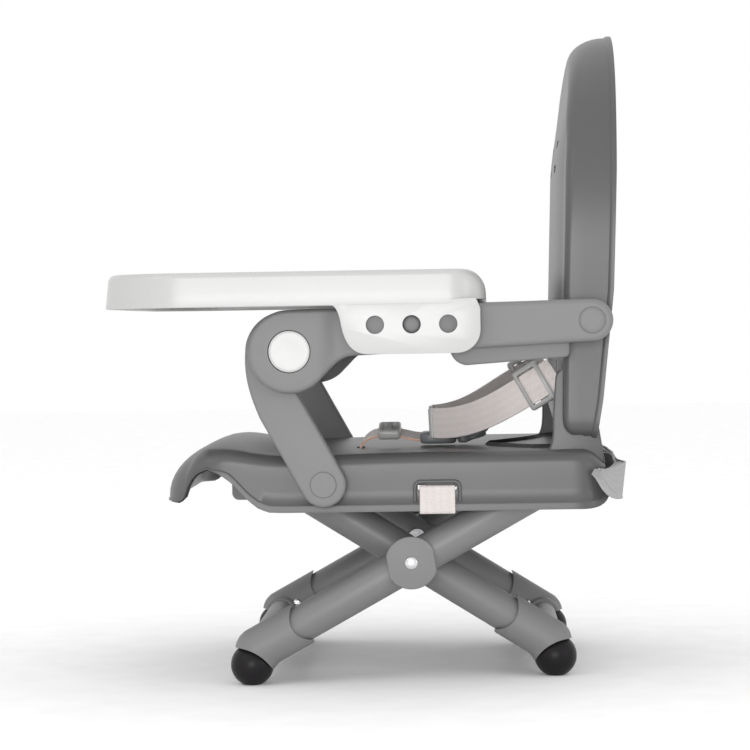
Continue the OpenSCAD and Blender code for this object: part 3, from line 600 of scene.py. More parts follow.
def build_seat():
    s = sizes()
    lip, rear = SEAT_LOW[1], SEAT_HIGH[1]
    outline = even(round_rect(-SEAT_X, SEAT_X, lip, rear, 44, 24), 4.0)
    n = inward(outline)
    front, back = np.clip(n[:, 1], 0, 1) ** 1.5, np.clip(-n[:, 1], 0, 1) ** 1.5
    side = 1 - front - back
    run = 9 * side + 30 * front + 21 * back
    low = seat_rim(outline[:, 1])
    drop = 9 * side + 40 * front + 22 * back
    drop = np.minimum(drop, seat_top(outline[:, 0], outline[:, 1]) - low - 3)

    def ring(inset, z=None, fall=None):
        p = outline + n * np.broadcast_to(inset, len(n))[:, None]
        height = z if z is not None else seat_top(p[:, 0], p[:, 1]) - fall
        return np.column_stack([p, height])

    wall_top = seat_top(*(outline + n * 0.8).T) - drop
    height = np.maximum(wall_top - low, 1.2)
    band = np.minimum(s.rim_band, 0.45 * height)
    rings = [ring(0.0, low), ring(0.0, low + band * 0.8), ring(0.25, low + band * 0.97),
             ring(0.8, low + band * 1.1)]
    rings += [ring(0.8, low + band * 1.1 + (wall_top - low - band * 1.1) * t) for t in (0.35, 0.7)]
    for a in np.radians(np.arange(0, 91, 10)):
        rings.append(ring(0.8 + run * (1 - math.cos(a)), fall=drop * (1 - math.sin(a))))
    inner = outline + n * (0.8 + run)[:, None]
    for share in (0.07, 0.15, 0.24, 0.34, 0.45, 0.56, 0.68, 0.8, 0.9, 1.0):
        p = to_middle(inner, lip + 90, rear - 90, share)
        rings.append(np.column_stack([p, seat_top(p[:, 0], p[:, 1])]))
    seat = skin("seat_shell", rings, material("satin_polypropylene"), s.wall, 40)

    slot = s.web + 2
    cutters = [block("cut", (-slot / 2, CROTCH_Y - 3, SEAT_TOP - 12), (slot / 2, CROTCH_Y + 3, SEAT_TOP + 8),
                     rounding=1.2)]
    cutters += side_blocks(SEAT_X - 8, SEAT_X + 6, (SLOT_Y - slot / 2, RIM + 14.5),
                           (SLOT_Y + slot / 2, RIM + 19), 1.2)
    combine(seat, cutters, "DIFFERENCE", 40)
    finish_piece(seat, "seat", "shell_grey", "seat_shell")

    # A half-round bead frames each strap slot on three sides
    path = even([(SLOT_Y - 15.6, RIM + 7)] + arc((SLOT_Y - 11.6, RIM + 16.6), 4, 180, 90, 6)
                + arc((SLOT_Y + 11.6, RIM + 16.6), 4, 90, 0, 6) + [(SLOT_Y + 15.6, RIM + 7)], 1.2, False)
    bead = sweep("slot_frame_left", [(SEAT_X - 0.3, y, z) for y, z in path], 1.35,
                 material("satin_polypropylene"))
    both_sides(bead, "seat", "shell_grey")

    # The uprights that carry the backrest's hinge
    low_u, high_u = SEAT_TOP - 2, SEAT_TOP + 57
    y0 = HINGE[0] - 17
    outline_u = ([(y0 + 36, low_u - 8), (y0 + 30, low_u + 30)]
                 + arc((HINGE[0] + 2, high_u - 13), 13, 20, 90, 8)
                 + arc((y0 + 10, high_u - 8), 8, 90, 180, 6) + [(y0, low_u + 26)]
                 + cubic((y0, low_u + 22), (y0, low_u + 6), (y0 - 2, low_u + 3), (y0 - 5, low_u), 6))
    x0 = span("back_hinge_pins")[1][0] - 13.2
    upright = plate("hinge_upright_left", outline_u[::-1], x0 + 0.5, x0 + 6.3, 1.6,
                    material("satin_polypropylene"))
    both_sides(upright, "seat", "shell_grey")


def sweep(name, path, radius, finish, n=12):
    """A round bar of plastic along a path of points."""
    p = np.array(path, float)
    t = np.gradient(p, axis=0)
    t /= np.linalg.norm(t, axis=1)[:, None]
    up = np.array([1.0, 0.0, 0.0]) if abs(t[0][0]) < 0.9 else np.array([0.0, 0.0, 1.0])
    rings = []
    for point, way in zip(p, t):
        u = up - way * (up @ way)
        u /= np.linalg.norm(u)
        v = np.cross(way, u)
        up = u
        rings.append([point + radius * (math.cos(a) * u + math.sin(a) * v)
                      for a in np.linspace(0, 2 * math.pi, n, endpoint=False)])
    return new_object(name, np.vstack(rings), ring_faces(len(rings), n, True), finish, 50)


# ---------------------------------------------------------------- backrest


def back_front(z):
    """The panel's front face along Z, before its bulge."""
    foot = BACK_LOW[2]
    zs = foot + np.array([0, 9, 16, 105, 190, 230, 255, 280, 295])
    ys = HINGE[0] - 6.5 + np.array([-0.5, -3.4, -4.2, -2.0, 0.8, 3.2, 5.2, 8.2, 9.5])
    return np.interp(z, zs, ys)


def back_rear(z):
    """The rear rim along Z."""
    foot = BACK_LOW[2]
    zs = foot + np.array([0, 28, 105, 190, 275, 295])
    ys = BACK_HIGH[1] + np.array([-19.5, -14.5, -6.0, -2.6, -0.6, -0.2])
    return np.interp(z, zs, ys)


def build_backrest():
    s = sizes()
    half, foot, top = BACK_HIGH[0], BACK_LOW[2], BACK_HIGH[2]
    shoulder = foot + 136
    right = ([(half - 60, foot), (half - 13, foot)] + arc((half - 13, foot + 13), 13, -90, 0, 10)
             + cubic((half, shoulder), (half, top - 72), (half - 36, top), (0, top), 40))
    left = [(-x, z) for x, z in right[-2::-1]]
    outline = even(right + left, 4.0)
    n = inward(outline)
    crown, base = np.clip(-n[:, 1], 0, 1) ** 1.4, np.clip(n[:, 1], 0, 1) ** 1.4
    side = 1 - crown - base
    run = 6 * side + 17 * crown + 6 * base
    deep = 5 * side + 25 * crown + 6 * base

    def face(p):
        spread = np.clip(1 - (np.abs(p[:, 0]) / (half - 22)) ** 4, 0, 1)
        tall = smooth((p[:, 1] - foot - 4) / 24) * smooth((top - 40 - p[:, 1]) / 60)
        return back_front(p[:, 1]) - s.bulge * spread * tall

    def ring(inset, y=None, back_by=None):
        p = outline + n * np.broadcast_to(inset, len(n))[:, None]
        depth = y if y is not None else face(p) + back_by
        return np.column_stack([p[:, 0], depth, p[:, 1]])

    rear = back_rear(outline[:, 1])
    wall_front = face(outline + n * 1.2) + deep
    rings = [ring(0.0, rear), ring(0.0, rear - 2.6), ring(0.4, rear - 3.4), ring(1.2, rear - 4.2)]
    rings += [ring(1.2, rear - 4.2 + (wall_front - rear + 4.2) * t) for t in (0.3, 0.65)]
    for a in np.radians(np.arange(0, 91, 10)):
        rings.append(ring(1.2 + run * (1 - math.cos(a)), back_by=deep * (1 - math.sin(a))))
    inner = outline + n * (1.2 + run)[:, None]
    for share in (0.03, 0.07, 0.13, 0.2, 0.3, 0.42, 0.55, 0.7, 0.85, 1.0):
        p = to_middle(inner, foot + 80, top - 90, share)
        rings.append(np.column_stack([p[:, 0], face(p), p[:, 1]]))
    back = skin("back_shell", rings, material("satin_polypropylene"), s.wall, 40)

    slot, y0, y1 = s.web + 2, HINGE[0] - 25, HINGE[0] + 12
    cutters = []
    for z in (top - 102, top - 84):
        cutters += side_blocks(30, 30 + slot, (y0, z), (y1, z + 5), 1.4)
    waist_z = HINGE[1] + 13
    cutters += side_blocks(89, 95, (y0, waist_z), (y1, waist_z + slot), 1.4)
    # Room for the seat's uprights
    cutters += side_blocks(124, half - 5.6, (y0, foot - 5), (HINGE[0] + 4, SEAT_TOP + 58), 1.0)
    # One side's cuts come before the other's: in another order the shell's mesh is left open
    combine(back, cutters[::2] + cutters[1::2], "DIFFERENCE", 40)
    finish_piece(back, "backrest", "shell_grey", "back_shell")

    inner = span("back_hinge_pins")[1][0] - 15.7
    pin = lathe("hinge_pin_left", [(inner, 6.8), (inner + 0.6, 7.9), (inner + 2.3, 7.9), (inner + 2.3, 4.9),
                                   (half - 2.6, 4.9), (half - 2.2, 4.4)], HINGE, material("plated_steel"))
    pair(pin, "seat", "steel", "back_hinge_pins")


# ------------------------------------------------------- armrests and struts


def arm_outline():
    """The armrest's side: the hub, the S under its neck, the bar and its round end."""
    r = ARM_HIGH[2] - ARM_REAR[1]
    hub_r = HUB[0] - ARM_LOW[1]
    return even(
        arc(HUB, hub_r, 90, 322, 40)
        + cubic(HUB + (22.6, -17.7), HUB + (29, -12), HUB + (33, -4.5), HUB + (43, -3.6), 8)
        + [tuple(ARM_REAR + (-6, -r - 0.2))]
        + arc(ARM_REAR, r, -90, 90, 20)
        + cubic(ARM_REAR + (-6, r), ARM_REAR + (-80, r - 1.2), HUB + (70, hub_r + 0.8),
                HUB + (0.5, hub_r), 12),
        2.0)


def build_armrests():
    s = sizes()
    x0, x1 = ARM_LOW[0], ARM_HIGH[0]
    inner = x0 + 12.5
    finish = material("matt_polypropylene")
    arm = plate("armrest_left", arm_outline(), inner, x1, s.arm_edge, finish, 5, both=False)
    # The bar's face sits a little behind the hub's, with a hollow between them
    bm = bmesh.new()
    bm.from_mesh(arm.data)
    for y in np.arange(HUB[0] + 20, HUB[0] + 48, 2.0):
        bmesh.ops.bisect_plane(bm, geom=bm.verts[:] + bm.edges[:] + bm.faces[:], plane_co=(0, y * MM, 0),
                               plane_no=(0, 1, 0))
    for v in bm.verts:
        if v.co.x > (inner + 3) * MM:
            y = v.co.y / MM - HUB[0]
            v.co.x -= (1.6 * float(smooth((y - 20) / 14)) + 0.9 * math.exp(-((y - 32) / 7) ** 2)) * MM
    bm.to_mesh(arm.data)
    bm.free()
    crease(arm, 30)
    shelf = [(HUB[0] + 35, ARM_REAR[1] - 2.5), (ARM_REAR[0], ARM_REAR[1] - 2.5)] + arc(
        ARM_REAR, ARM_HIGH[2] - ARM_REAR[1], -90, 88, 16)[1:] + [
        (HUB[0] + 36, HUB[1] + 30.4), (HUB[0] + 34, HUB[1] + 27)]
    top = plate("shelf", shelf, x0, inner + 0.3, 2.5, finish, 4)
    combine(arm, [lathe("cut", [(inner + 2, 14.8), (x1 + 2, 14.8)], HUB, None),
                  lathe("cut", [(inner - 1, 9.05), (inner + 3, 9.05)], HUB, None),
                  ring_cutter(ARM_REAR, 9.0, 0.45, x1 - 1.6 - 0.8)], "DIFFERENCE", 30)
    join(arm, [top], 30)
    both_sides(arm, "armrests", "frame_grey", "armrest")

    low = ARM_REAR[1] - 14.5
    front = HUB[0] + 110
    rear = ARM_REAR[0] - 15.5
    liner_line = even([(front, low + 10)] + arc((front + 13, low - 2.5), 13, 180, 262, 8)
                      + [(rear - 6, low - 11)] + arc((rear - 4, low - 7), 4, 280, 360, 5)
                      + [(rear, low + 10)], 2.0)
    liner = plate("arm_liner_left", liner_line, x0 + 1.2, inner - 0.3, 2.6, finish, 4)
    both_sides(liner, "armrests", "shell_grey", "arm_liner")

    cap = lathe("arm_cap_left", [(x1 - 2.6, 8.5), (x1 - 1.55, 8.5), (x1 - 1.3, 8.2), (x1 - 1.1, 6.5),
                                 (x1 - 1.0, 3.0), (x1 - 1.0, 0.3)], ARM_REAR, finish)
    pair(cap, "armrests", "frame_grey", "arm_caps")

    button = lathe("fold_button_left", [(x1 - 4, 14.3), (x1 - 0.8, 14.3), (x1 - 0.45, 14.15),
                                        (x1 - 0.25, 13.7),
                                        (x1 - 0.2, 12), (x1 - 0.35, 8), (x1 - 0.5, 4), (x1 - 0.55, 0.3)],
                   HUB, material("white_abs"), n=96)
    both_sides(button, None, "off_white", "fold_button", bodies="fold_button_{}")


def ring_cutter(yz, radius, width, x):
    """A tube that cuts a fine round groove from x outwards."""
    n, reach = 64, 6
    inner, outer = radius - width / 2, radius + width / 2
    profile = [(x, inner), (x, outer), (x + reach, outer), (x + reach, inner), (x, inner)]
    rings = [circle(px, yz, r, n) for px, r in profile]
    return new_object("cut", np.vstack(rings), ring_faces(len(rings), n), None)


def strut_outline():
    """The strut's side: straight and leaning at the foot, then bent up behind the hub."""
    lean = np.radians(28.8)
    along, across = np.array([-math.sin(lean), math.cos(lean)]), np.array([math.cos(lean), math.sin(lean)])
    r = 15.6
    foot_arc = arc(STRUT_FOOT, r, 207.5, 387.5, 24)
    right = [STRUT_FOOT + across * r + along * 74]
    disc = HUB + (-2.6, -0.8)
    return even(
        foot_arc + right
        + cubic(right[0], right[0] + along * 4, HUB + (6, -18), HUB + (9, -10), 6)
        + arc(disc, 28.8, -15, 170, 30)
        + cubic(disc + (-28.9, -3), disc + (-29.2, -18), HUB + (-28.5, -30),
                STRUT_FOOT - across * r + along * 62, 10)
        + [STRUT_FOOT - across * r + along * 55], 2.0)


def build_struts():
    low, high = span("strut_left")
    x1 = low[0] + 12
    finish = material("matt_polypropylene")
    strut = plate("strut_left", strut_outline(), low[0], x1, 2.2, finish, 4)
    combine(strut, [ring_cutter(STRUT_FOOT, 8.8, 0.4, x1 - 0.9)], "DIFFERENCE", 30)
    boss = [(x1 - 0.5, 8.9), (high[0] - 0.1, 8.9), (high[0] - 0.1, 4.5)]
    join(strut, [lathe("boss", boss, HUB, finish)], 30)
    both_sides(strut, "struts", "frame_grey", "strut")


# -------------------------------------------------------------------- tray


def build_tray():
    s = sizes()
    half = TRAY_HIGH[0]
    front, rear, top = TRAY_LOW[1], TRAY_HIGH[1], TRAY_HIGH[2]
    depth = 24
    low = top - depth
    outline = even(round_rect(-half, half, front, rear, 58, 26, 16), 2.5)
    n = inward(outline)
    fore, aft = np.clip(n[:, 1], 0, 1) ** 1.5, np.clip(-n[:, 1], 0, 1) ** 1.5
    side = 1 - fore - aft
    lean = 1.2 * side + 2.0 * fore + 0.3 * aft
    run = 4.0 * side + 5.5 * fore + 15 * aft
    drop = 4.0 * side + 4.8 * fore + 17 * aft

    def ring(inset, z):
        p = outline + n * np.broadcast_to(inset, len(n))[:, None]
        return np.column_stack([p, np.broadcast_to(z, len(n))])

    rings = [ring(0.6, low), ring(0.15, low + 0.3), ring(0.0, low + 0.9),
             ring(lean * 0.5, low + (depth - drop) * 0.5)]
    for a in np.radians(np.arange(0, 91, 11.25)):
        rings.append(ring(lean + run * (1 - math.cos(a)), top - drop * (1 - math.sin(a))))
    rim = lean + run + s.tray_rim * (1 - 0.75 * aft)
    rings.append(ring(rim - 1.2, top))
    for a in np.radians((25, 50, 75)):
        rings.append(ring(rim - 1.2 + 2.4 * math.sin(a), top - 2.4 * (1 - math.cos(a))))
    rings.append(ring(rim + 2.4, top - s.tray_dish + 4))
    for a in np.radians((20, 45, 70, 90)):
        rings.append(ring(rim + 2.6 + 4 * (1 - math.cos(a)), top - s.tray_dish + 4 * (1 - math.sin(a))))
    inner = outline + n * (rim + 6.6)[:, None]
    for share in (0.06, 0.3, 0.7, 1.0):
        p = to_middle(inner, front + 130, rear - 120, share)
        rings.append(np.column_stack([p, np.full(len(p), top - s.tray_dish)]))
    tray = skin("tray", rings, material("white_abs"), 2.6, 35)

    plate_low, plate_high = span("peg_plate_left")
    mid_y, mid_z = (plate_low[1] + plate_high[1]) / 2, (plate_low[2] + plate_high[2]) / 2
    y0, y1, z0 = mid_y - 44, rear - 4.5, TRAY_LOW[2]
    flange_line = even(
        cubic((y0 - 14, low + 2), (y0 - 5, low), (y0 - 5.5, low - 9), (y0 - 3.5, low - 17), 8)
        + cubic((y0 - 3.5, low - 17), (y0 - 1.5, low - 25), (y0 + 3, z0), (y0 + 13, z0), 8)[1:]
        + arc((y1 - 16, z0 + 16), 16, 270, 360, 12)
        + [(y1, low - 3), (y1 - 3, low + 4)], 2.0)
    x0 = plate_high[0] + 0.4
    flange = plate("flange", flange_line, x0, half - 0.15, 1.0, material("white_abs"), 3)
    combine(flange, [lathe("cut", [(x0 - 2, 6.3), (half + 2, 6.3)], (mid_y + k * 25, mid_z), None)
                     for k in (-1, 0, 1)], "DIFFERENCE", 35)
    twin = mirrored(flange, "flange_right")
    notch = side_blocks(ARM_LOW[0] - 2, x0, (rear - 30, low - 2), (rear + 2, ARM_HIGH[2] + 1.3), 0)
    combine(tray, notch, "DIFFERENCE", 35)
    join(tray, [flange, twin], 35)
    finish_piece(tray, "tray", "off_white", "tray")

    finish = material("matt_polypropylene")
    plate_line = even(round_rect(plate_low[1], plate_high[1], plate_low[2], plate_high[2], 4, 4), 1.5)
    carrier = plate("peg_plate_left", plate_line, plate_low[0], plate_high[0], 0.5, finish, 2)
    bore = lathe("cut", [(plate_low[0] - 1, 6.1), (plate_high[0] + 1, 6.1)], (mid_y, mid_z), None)
    combine(carrier, [bore], "DIFFERENCE", 35)
    both_sides(carrier, "peg_plates", "frame_grey", "peg_plate")
    p0, p1 = span("lock_peg_left")
    x = p1[0]
    peg = lathe("lock_peg_left", [(p0[0], 4.5), (x - 1.6, 4.5), (x - 1.6, 5.75), (x - 0.9, 5.75),
                                  (x - 0.45, 5.3), (x - 0.15, 3.8), (x - 0.02, 2.0), (x, 0.2)],
                (mid_y, mid_z), finish)
    both_sides(peg, None, "frame_grey", "lock_peg", bodies="lock_peg_{}")


# -------------------------------------------------------------------- legs


def leg_frame(stem, body, way):
    """One leg frame: two tubes, their sleeves with the cross bar between, and two rubber feet.
    way is -1 for the frame with the front feet and 1 for the one with the rear feet."""
    tube_low, tube_high = span(f"{stem}_leg_left")
    x = (tube_low[0] + tube_high[0]) / 2
    r = (tube_high[0] - tube_low[0]) / 2
    bar_low, bar_high = span(f"{stem}_foot_bar")
    foot = (bar_low[1:] + bar_high[1:]) / 2
    top = LEG_TOP if way < 0 else CROSS + (CROSS - foot) * (LEG_TOP[1] - CROSS[1]) / (CROSS[1] - foot[1])
    along = (top - foot) / np.linalg.norm(top - foot)
    steel, plastic = material("powder_coated_steel"), material("matt_polypropylene")

    def on_axis(distance, px=x):
        return (px, *(foot + along * distance))

    full = np.linalg.norm(top - foot)
    tube = rod(f"{stem}_leg_left", on_axis(3.5), on_axis(full + 8), r, steel, 64)
    combine(tube, [rod("cut", on_axis(-5), on_axis(14), r - 1.8, None, 64)], "DIFFERENCE", 35)
    soften(tube, 0.8, 3)
    both_sides(tube, body, "tube_grey", f"{stem}_leg")
    bar = rod(f"{stem}_foot_bar", (bar_low[0], *foot), (bar_high[0], *foot), 9.5, steel, 48)
    finish_piece(bar, body, "tube_grey", f"{stem}_foot_bar")

    # The sleeve grips the tube, turns down to the foot and holds the bar
    centre = foot + (way * 3.5, -10.5)
    out = np.array([way * 0.42, -0.907])
    sleeve = rod("sleeve", on_axis(-2), on_axis(38), r + 2.4, plastic)
    neck_end = centre - out * 3
    parts = [rod("neck", (x, *(foot + along * 9)), (x, *neck_end), 14.6),
             rod("stub", (x - r - 5, *foot), (x, *foot), 12.3)]
    join(sleeve, parts)
    ball = bpy.data.meshes.new("ball")
    bm = bmesh.new()
    for c, radius in (((x, *foot), r + 2.3), ((x, *centre), 15.2)):
        bmesh.ops.create_uvsphere(bm, u_segments=40, v_segments=24, radius=radius * MM,
                                  matrix=Matrix.Translation(Vector(c) * MM))
    bm.to_mesh(ball)
    bm.free()
    join(sleeve, [link("balls", ball)])
    remesh(sleeve, 0.8, 9)
    scoop_at = foot + along * 46 + (0, 1.5)
    scoop = rod("cut", (x - 30, *scoop_at), (x + 30, *scoop_at), 16.5)
    inner = rod("cut", on_axis(2.5), on_axis(60), r + 0.05, None, 64)
    combine(sleeve, [inner, scoop, parting_rod(x, centre, way, 26.6)], "DIFFERENCE", 35)
    sleeve.name = f"{stem}_sleeve_left"
    both_sides(sleeve, body, "frame_grey", f"{stem}_sleeve")

    # The rubber foot: a dome with a flat pad, clipped under the sleeve
    dome = bpy.data.meshes.new(f"{stem}_foot_left")
    bm = bmesh.new()
    bmesh.ops.create_uvsphere(bm, u_segments=64, v_segments=48, radius=15.2 * MM)
    for v in bm.verts:
        v.co.z = max(v.co.z, -14 * MM)
    bm.transform(Matrix.Translation(Vector((x, centre[0], 14.0)) * MM))
    bm.to_mesh(dome)
    bm.free()
    rubber = link(f"{stem}_foot_left", dome)
    dome.materials.append(material("black_rubber"))
    combine(rubber, [parting_rod(x, centre, way, 26.5)], "INTERSECT", 35)
    combine(rubber, [rod("cut", on_axis(2.5), on_axis(30), r + 0.2, None, 48),
                     rod("cut", (x - 30, *foot), (x - r - 0.4, *foot), 9.8)], "DIFFERENCE", 35)
    soften(rubber, 0.9, 3, 50)
    both_sides(rubber, body, "rubber", f"{stem}_foot")
    return x, r


def parting_rod(x, centre, way, radius):
    """The curved surface between a sleeve and its rubber foot, as a rod across the leg."""
    axis = centre + (way * 9.5, -14.0)
    return rod("parting", (x - 40, *axis), (x + 40, *axis), radius, None, 128)


def build_legs():
    front_x, r = leg_frame("front", "front_legs", -1)
    rear_x, _ = leg_frame("rear", "rear_legs", 1)
    x1 = span("cross_discs")[1][0]
    # Pivot discs with two flats, and the spacers between the legs
    flat = 16.7
    line = arc((0, 0), 18.5, 0, 360, 90)[:-1]
    turn = math.radians(8)
    outline = []
    for y, z in line:
        y = max(-flat, min(flat, y))
        outline.append((CROSS[0] + y * math.cos(turn) - z * math.sin(turn),
                        CROSS[1] + y * math.sin(turn) + z * math.cos(turn)))
    disc = plate("cross_disc_left", even(outline, 1.5), x1 - 2.4, x1, 0.8, material("matt_polypropylene"), 3)
    spacer = lathe("spacer", [(rear_x + r + 0.3, 11), (front_x - r - 0.3, 11)], CROSS,
                   material("matt_polypropylene"))
    join(disc, [spacer])
    pair(disc, "front_legs", "frame_grey", "cross_discs")
    rivet = lathe("cross_rivet_left", [(rear_x - r - 3, 6.6), (rear_x - r - 1.2, 7), (rear_x - r - 1, 7),
                                       (rear_x - r - 1, 3.9), (x1 + 0.05, 3.9), (x1 + 0.05, 4.7),
                                       (x1 + 0.6, 4.4), (x1 + 1.1, 3.5), (x1 + 1.5, 2.0),
                                       (x1 + 1.6, 0.2)], CROSS,
                  material("plated_steel"))
    pair(rivet, "front_legs", "steel", "cross_rivets")


# ----------------------------------------------------------------- webbing


def band(name, path, across, width, thick, finish, closed=False, shares=None):
    """Flat webbing: a path, the direction its width lies in at each point, and the share of its
    width that shows there, where it is gathered.
    The map holds the place across and along the band, in metres, for the weave."""
    p, w = np.array(path, float), np.array(across, float)
    t = np.gradient(p, axis=0)
    if closed:
        t = np.roll(p, -1, 0) - np.roll(p, 1, 0)
    t /= np.linalg.norm(t, axis=1)[:, None]
    w -= t * (w * t).sum(1)[:, None]
    w /= np.linalg.norm(w, axis=1)[:, None]
    normal = np.cross(t, w)
    half, h = width / 2, thick / 2
    across_half = (-half + 0.4, -half * 0.5, 0, half * 0.5, half - 0.4)
    section = ([(a, -h) for a in across_half] + [(half, 0)] + [(a, h) for a in across_half[::-1]]
               + [(-half, 0)])
    n = len(section)
    shares = np.ones(len(p)) if shares is None else shares
    rings = [[point + a * share * wide + b * out for a, b in section]
             for point, wide, out, share in zip(p, w, normal, shares)]
    faces = ring_faces(len(rings), n, not closed)
    if closed:
        last = (len(rings) - 1) * n
        faces += [(last + k, last + (k + 1) % n, (k + 1) % n, k) for k in range(n)]
    mesh = bpy.data.meshes.new(name)
    mesh.from_pydata((np.vstack(rings) * MM).tolist(), [], faces)
    run = np.concatenate([[0], np.cumsum(np.linalg.norm(np.diff(p, axis=0), axis=1))])
    uv = mesh.uv_layers.new(name="Band")
    for polygon in mesh.polygons:
        for loop, v in zip(polygon.loop_indices, polygon.vertices):
            uv.data[loop].uv = (section[v % n][0] * MM, run[v // n] * MM)
    mesh.materials.append(finish)
    bm = bmesh.new()
    bm.from_mesh(mesh)
    bmesh.ops.recalc_face_normals(bm, faces=bm.faces)
    bm.to_mesh(mesh)
    bm.free()
    obj = link(name, mesh)
    crease(obj, 60)
    return obj, run[-1]


def waist_line(lift):
    """The middle line of a waist strap on the left: out of the buckle, level, then up to its slot."""
    y0, z0 = CROTCH_Y + 54, SEAT_TOP + 15.5
    reach = 98
    side = cubic((y0, z0 + lift * 0.1), (y0 + 35, z0 - 1.5 + lift * 0.3),
                 (y0 + 55 - lift * 0.5, z0 + 18 + lift), (y0 + reach, z0 + 42), 60)
    return [np.array([22 + 70 * math.sin(math.pi / 2 * (y - y0) / reach), y, z]) for y, z in side
            if y < WAIST_END]


def build_harness():
    s = sizes()
    wide = s.web - 2.2
    place = 0.855
    for side, way, lift in (("left", 1, 0.0), ("right", -1, 8.0)):
        path = waist_line(lift)
        n = len(path)
        across = [(-3.0 * math.sin(math.pi * k / n), -9.0 * k / n - 1, 22) for k in range(n)]
        k = int(place * n)
        at, u, lean = path[k], path[k + 1] - path[k - 1], np.array(across[k])
        flip = np.array([way, 1, 1])
        strap, length = band(f"waist_strap_{side}", [p * flip for p in path],
                             [np.array(a) * flip for a in across], wide, s.web_t, material("harness_webbing"))
        finish_piece(strap, "seat", "web_pink", f"waist_strap_{side}")
        slide = waist_slide(f"waist_adjuster_{side}", at * flip, u * flip, lean * flip)
        finish_piece(slide, "seat", "off_white", f"waist_adjuster_{side}")
        # A short white bar closes the strap's front end
        start, lean = path[0] * flip, np.array(across[0]) * flip
        lean = lean / np.linalg.norm(lean)
        roll = sweep(f"waist_roll_{side}",
                     [start + lean * (wide / 2 - 0.6) * k for k in (-1, -0.5, 0, 0.5, 0.97)],
                     2.3, material("white_abs"), 20)
        finish_piece(roll, "seat", "off_white")
        for piece in (strap, slide, roll):
            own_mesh(piece)

    # Crotch strap, out of its slot and over to the buckle
    mid = (CROTCH_Y + 22, SEAT_TOP + 8.4)
    rise = cubic((CROTCH_Y, SEAT_TOP - 7), (CROTCH_Y - 0.5, SEAT_TOP + 3),
                 (CROTCH_Y + 8, SEAT_TOP + 9), mid, 18)
    fall = cubic(mid, (CROTCH_Y + 33, SEAT_TOP + 7.9), (CROTCH_Y + 38, SEAT_TOP + 4.6),
                 (CROTCH_Y + 47, SEAT_TOP + 4.4), 14)
    line = [(0, y, z) for y, z in rise + fall[1:]]
    lean = [(1, 0, -0.2 * min(1, k / 12)) for k in range(len(line))]
    strap, length = band("crotch_strap", line, lean, s.web - 0.5, s.web_t, material("harness_webbing"))
    finish_piece(strap, "seat", "web_pink", "crotch_strap")
    slide = block("crotch_adjuster", (-15.5, -8.4, -2.6), (15.5, 8.4, 4.6), material("white_abs"), 2.4, 5)
    combine(slide, [block("cut", (-13.1, -12, -1.3), (13.1, 12, 1.3))] + [
        block("cut", (-12, y, -6), (12, y + 3.6, 8), rounding=1.0) for y in (-5.4, 1.8)], "DIFFERENCE", 35)
    slide.data.transform(Matrix.Translation(Vector((0, *mid)) * MM) @ Matrix.Rotation(0.197, 4, "Y"))
    finish_piece(slide, "seat", "off_white", "crotch_adjuster")
    build_buckle()


def waist_slide(name, at, way, lean):
    """A slide buckle on a strap: one wide window on its outer face, and a bar behind the strap."""
    high = sizes().web / 2 + 1
    slide = block(name, (-10.5, -3.1, -high - 2.2), (10.5, 3.1, high + 2.2), material("white_abs"), 2.2, 4)
    combine(slide, [block("cut", (-20, -1.5, -high + 0.6), (20, 1.5, high - 0.6), rounding=0.8)] + [
        block("cut", (x, 0, -high + 1.2), (x + 5.6, 10, high - 1.2), rounding=1.2) for x in (-7.4, 1.8)] + [
        block("cut", (-7.4, -10, -high + 1.2), (7.4, 0, high - 1.2), rounding=1.2)], "DIFFERENCE", 35)
    u = Vector(way).normalized()
    w = Vector(lean)
    w = (w - u * w.dot(u)).normalized()
    turn = Matrix((u, w.cross(u), w)).transposed().to_4x4()
    slide.data.transform(Matrix.Translation(Vector(at) * MM) @ turn)
    return slide


def build_buckle():
    """A side-release buckle: a socket with a mouth, and a clip with two oval loops."""
    finish = material("acetal")
    y, z = CROTCH_Y + 45, SEAT_TOP - 0.2
    outline = even(round_rect(-19, 19, y, y + 27, 7, 9, 8), 1.5)
    socket = level_plate("buckle_socket", outline, z, z + 8.4, 2.6, finish)
    window = even(round_rect(-9, 9, y + 8, y + 19, 4, 5, 6), 1.5)
    combine(socket, [block("cut", (-14, y + 6, z + 2.4), (14, y + 33, z + 6.2)),
                     level_plate("cut", window, z + 7.2, z + 14, 0, None)], "DIFFERENCE", 35)
    finish_piece(socket, "seat", "buckle_grey", "buckle_socket")
    y += 28
    outline = even(round_rect(-17, 17, y, y + 8, 3, 3, 8), 1.5)
    body = level_plate("buckle_clip", outline, z + 0.4, z + 8, 2.2, finish)
    # Two wire-like oval loops that take the waist straps
    loops = []
    for shift, tilt, lift in ((0.0, 0.25, 4.4), (2.6, 0.5, 6.2)):
        oval = []
        for a in np.linspace(0, 2 * math.pi, 49):
            out = 8.5 * math.sin(a)
            oval.append((14.5 * math.cos(a), y + 11.5 + shift + out * math.cos(tilt),
                         z + lift + out * math.sin(tilt)))
        loops.append(sweep("loop", oval, 1.7, finish, 12))
    prongs = [block("prong", (a, y - 18, z + 3.0), (b, y + 1, z + 5.4), finish, 0.7) for a, b in
              ((-12.5, -8.5), (-2, 2), (8.5, 12.5))]
    join(body, prongs + loops)
    finish_piece(body, "seat", "buckle_grey", "buckle_clip")


def level_plate(name, outline, z0, z1, rounding, finish):
    """A plan-view outline given height, with rounded edges."""
    obj = plate(name, [(x, y) for x, y in outline], z0, z1, rounding, finish)
    # The plate's X, Y and Z become Z, X and Y
    obj.data.transform(Matrix(((0, 1, 0, 0), (0, 0, 1, 0), (1, 0, 0, 0), (0, 0, 0, 1))))
    return obj


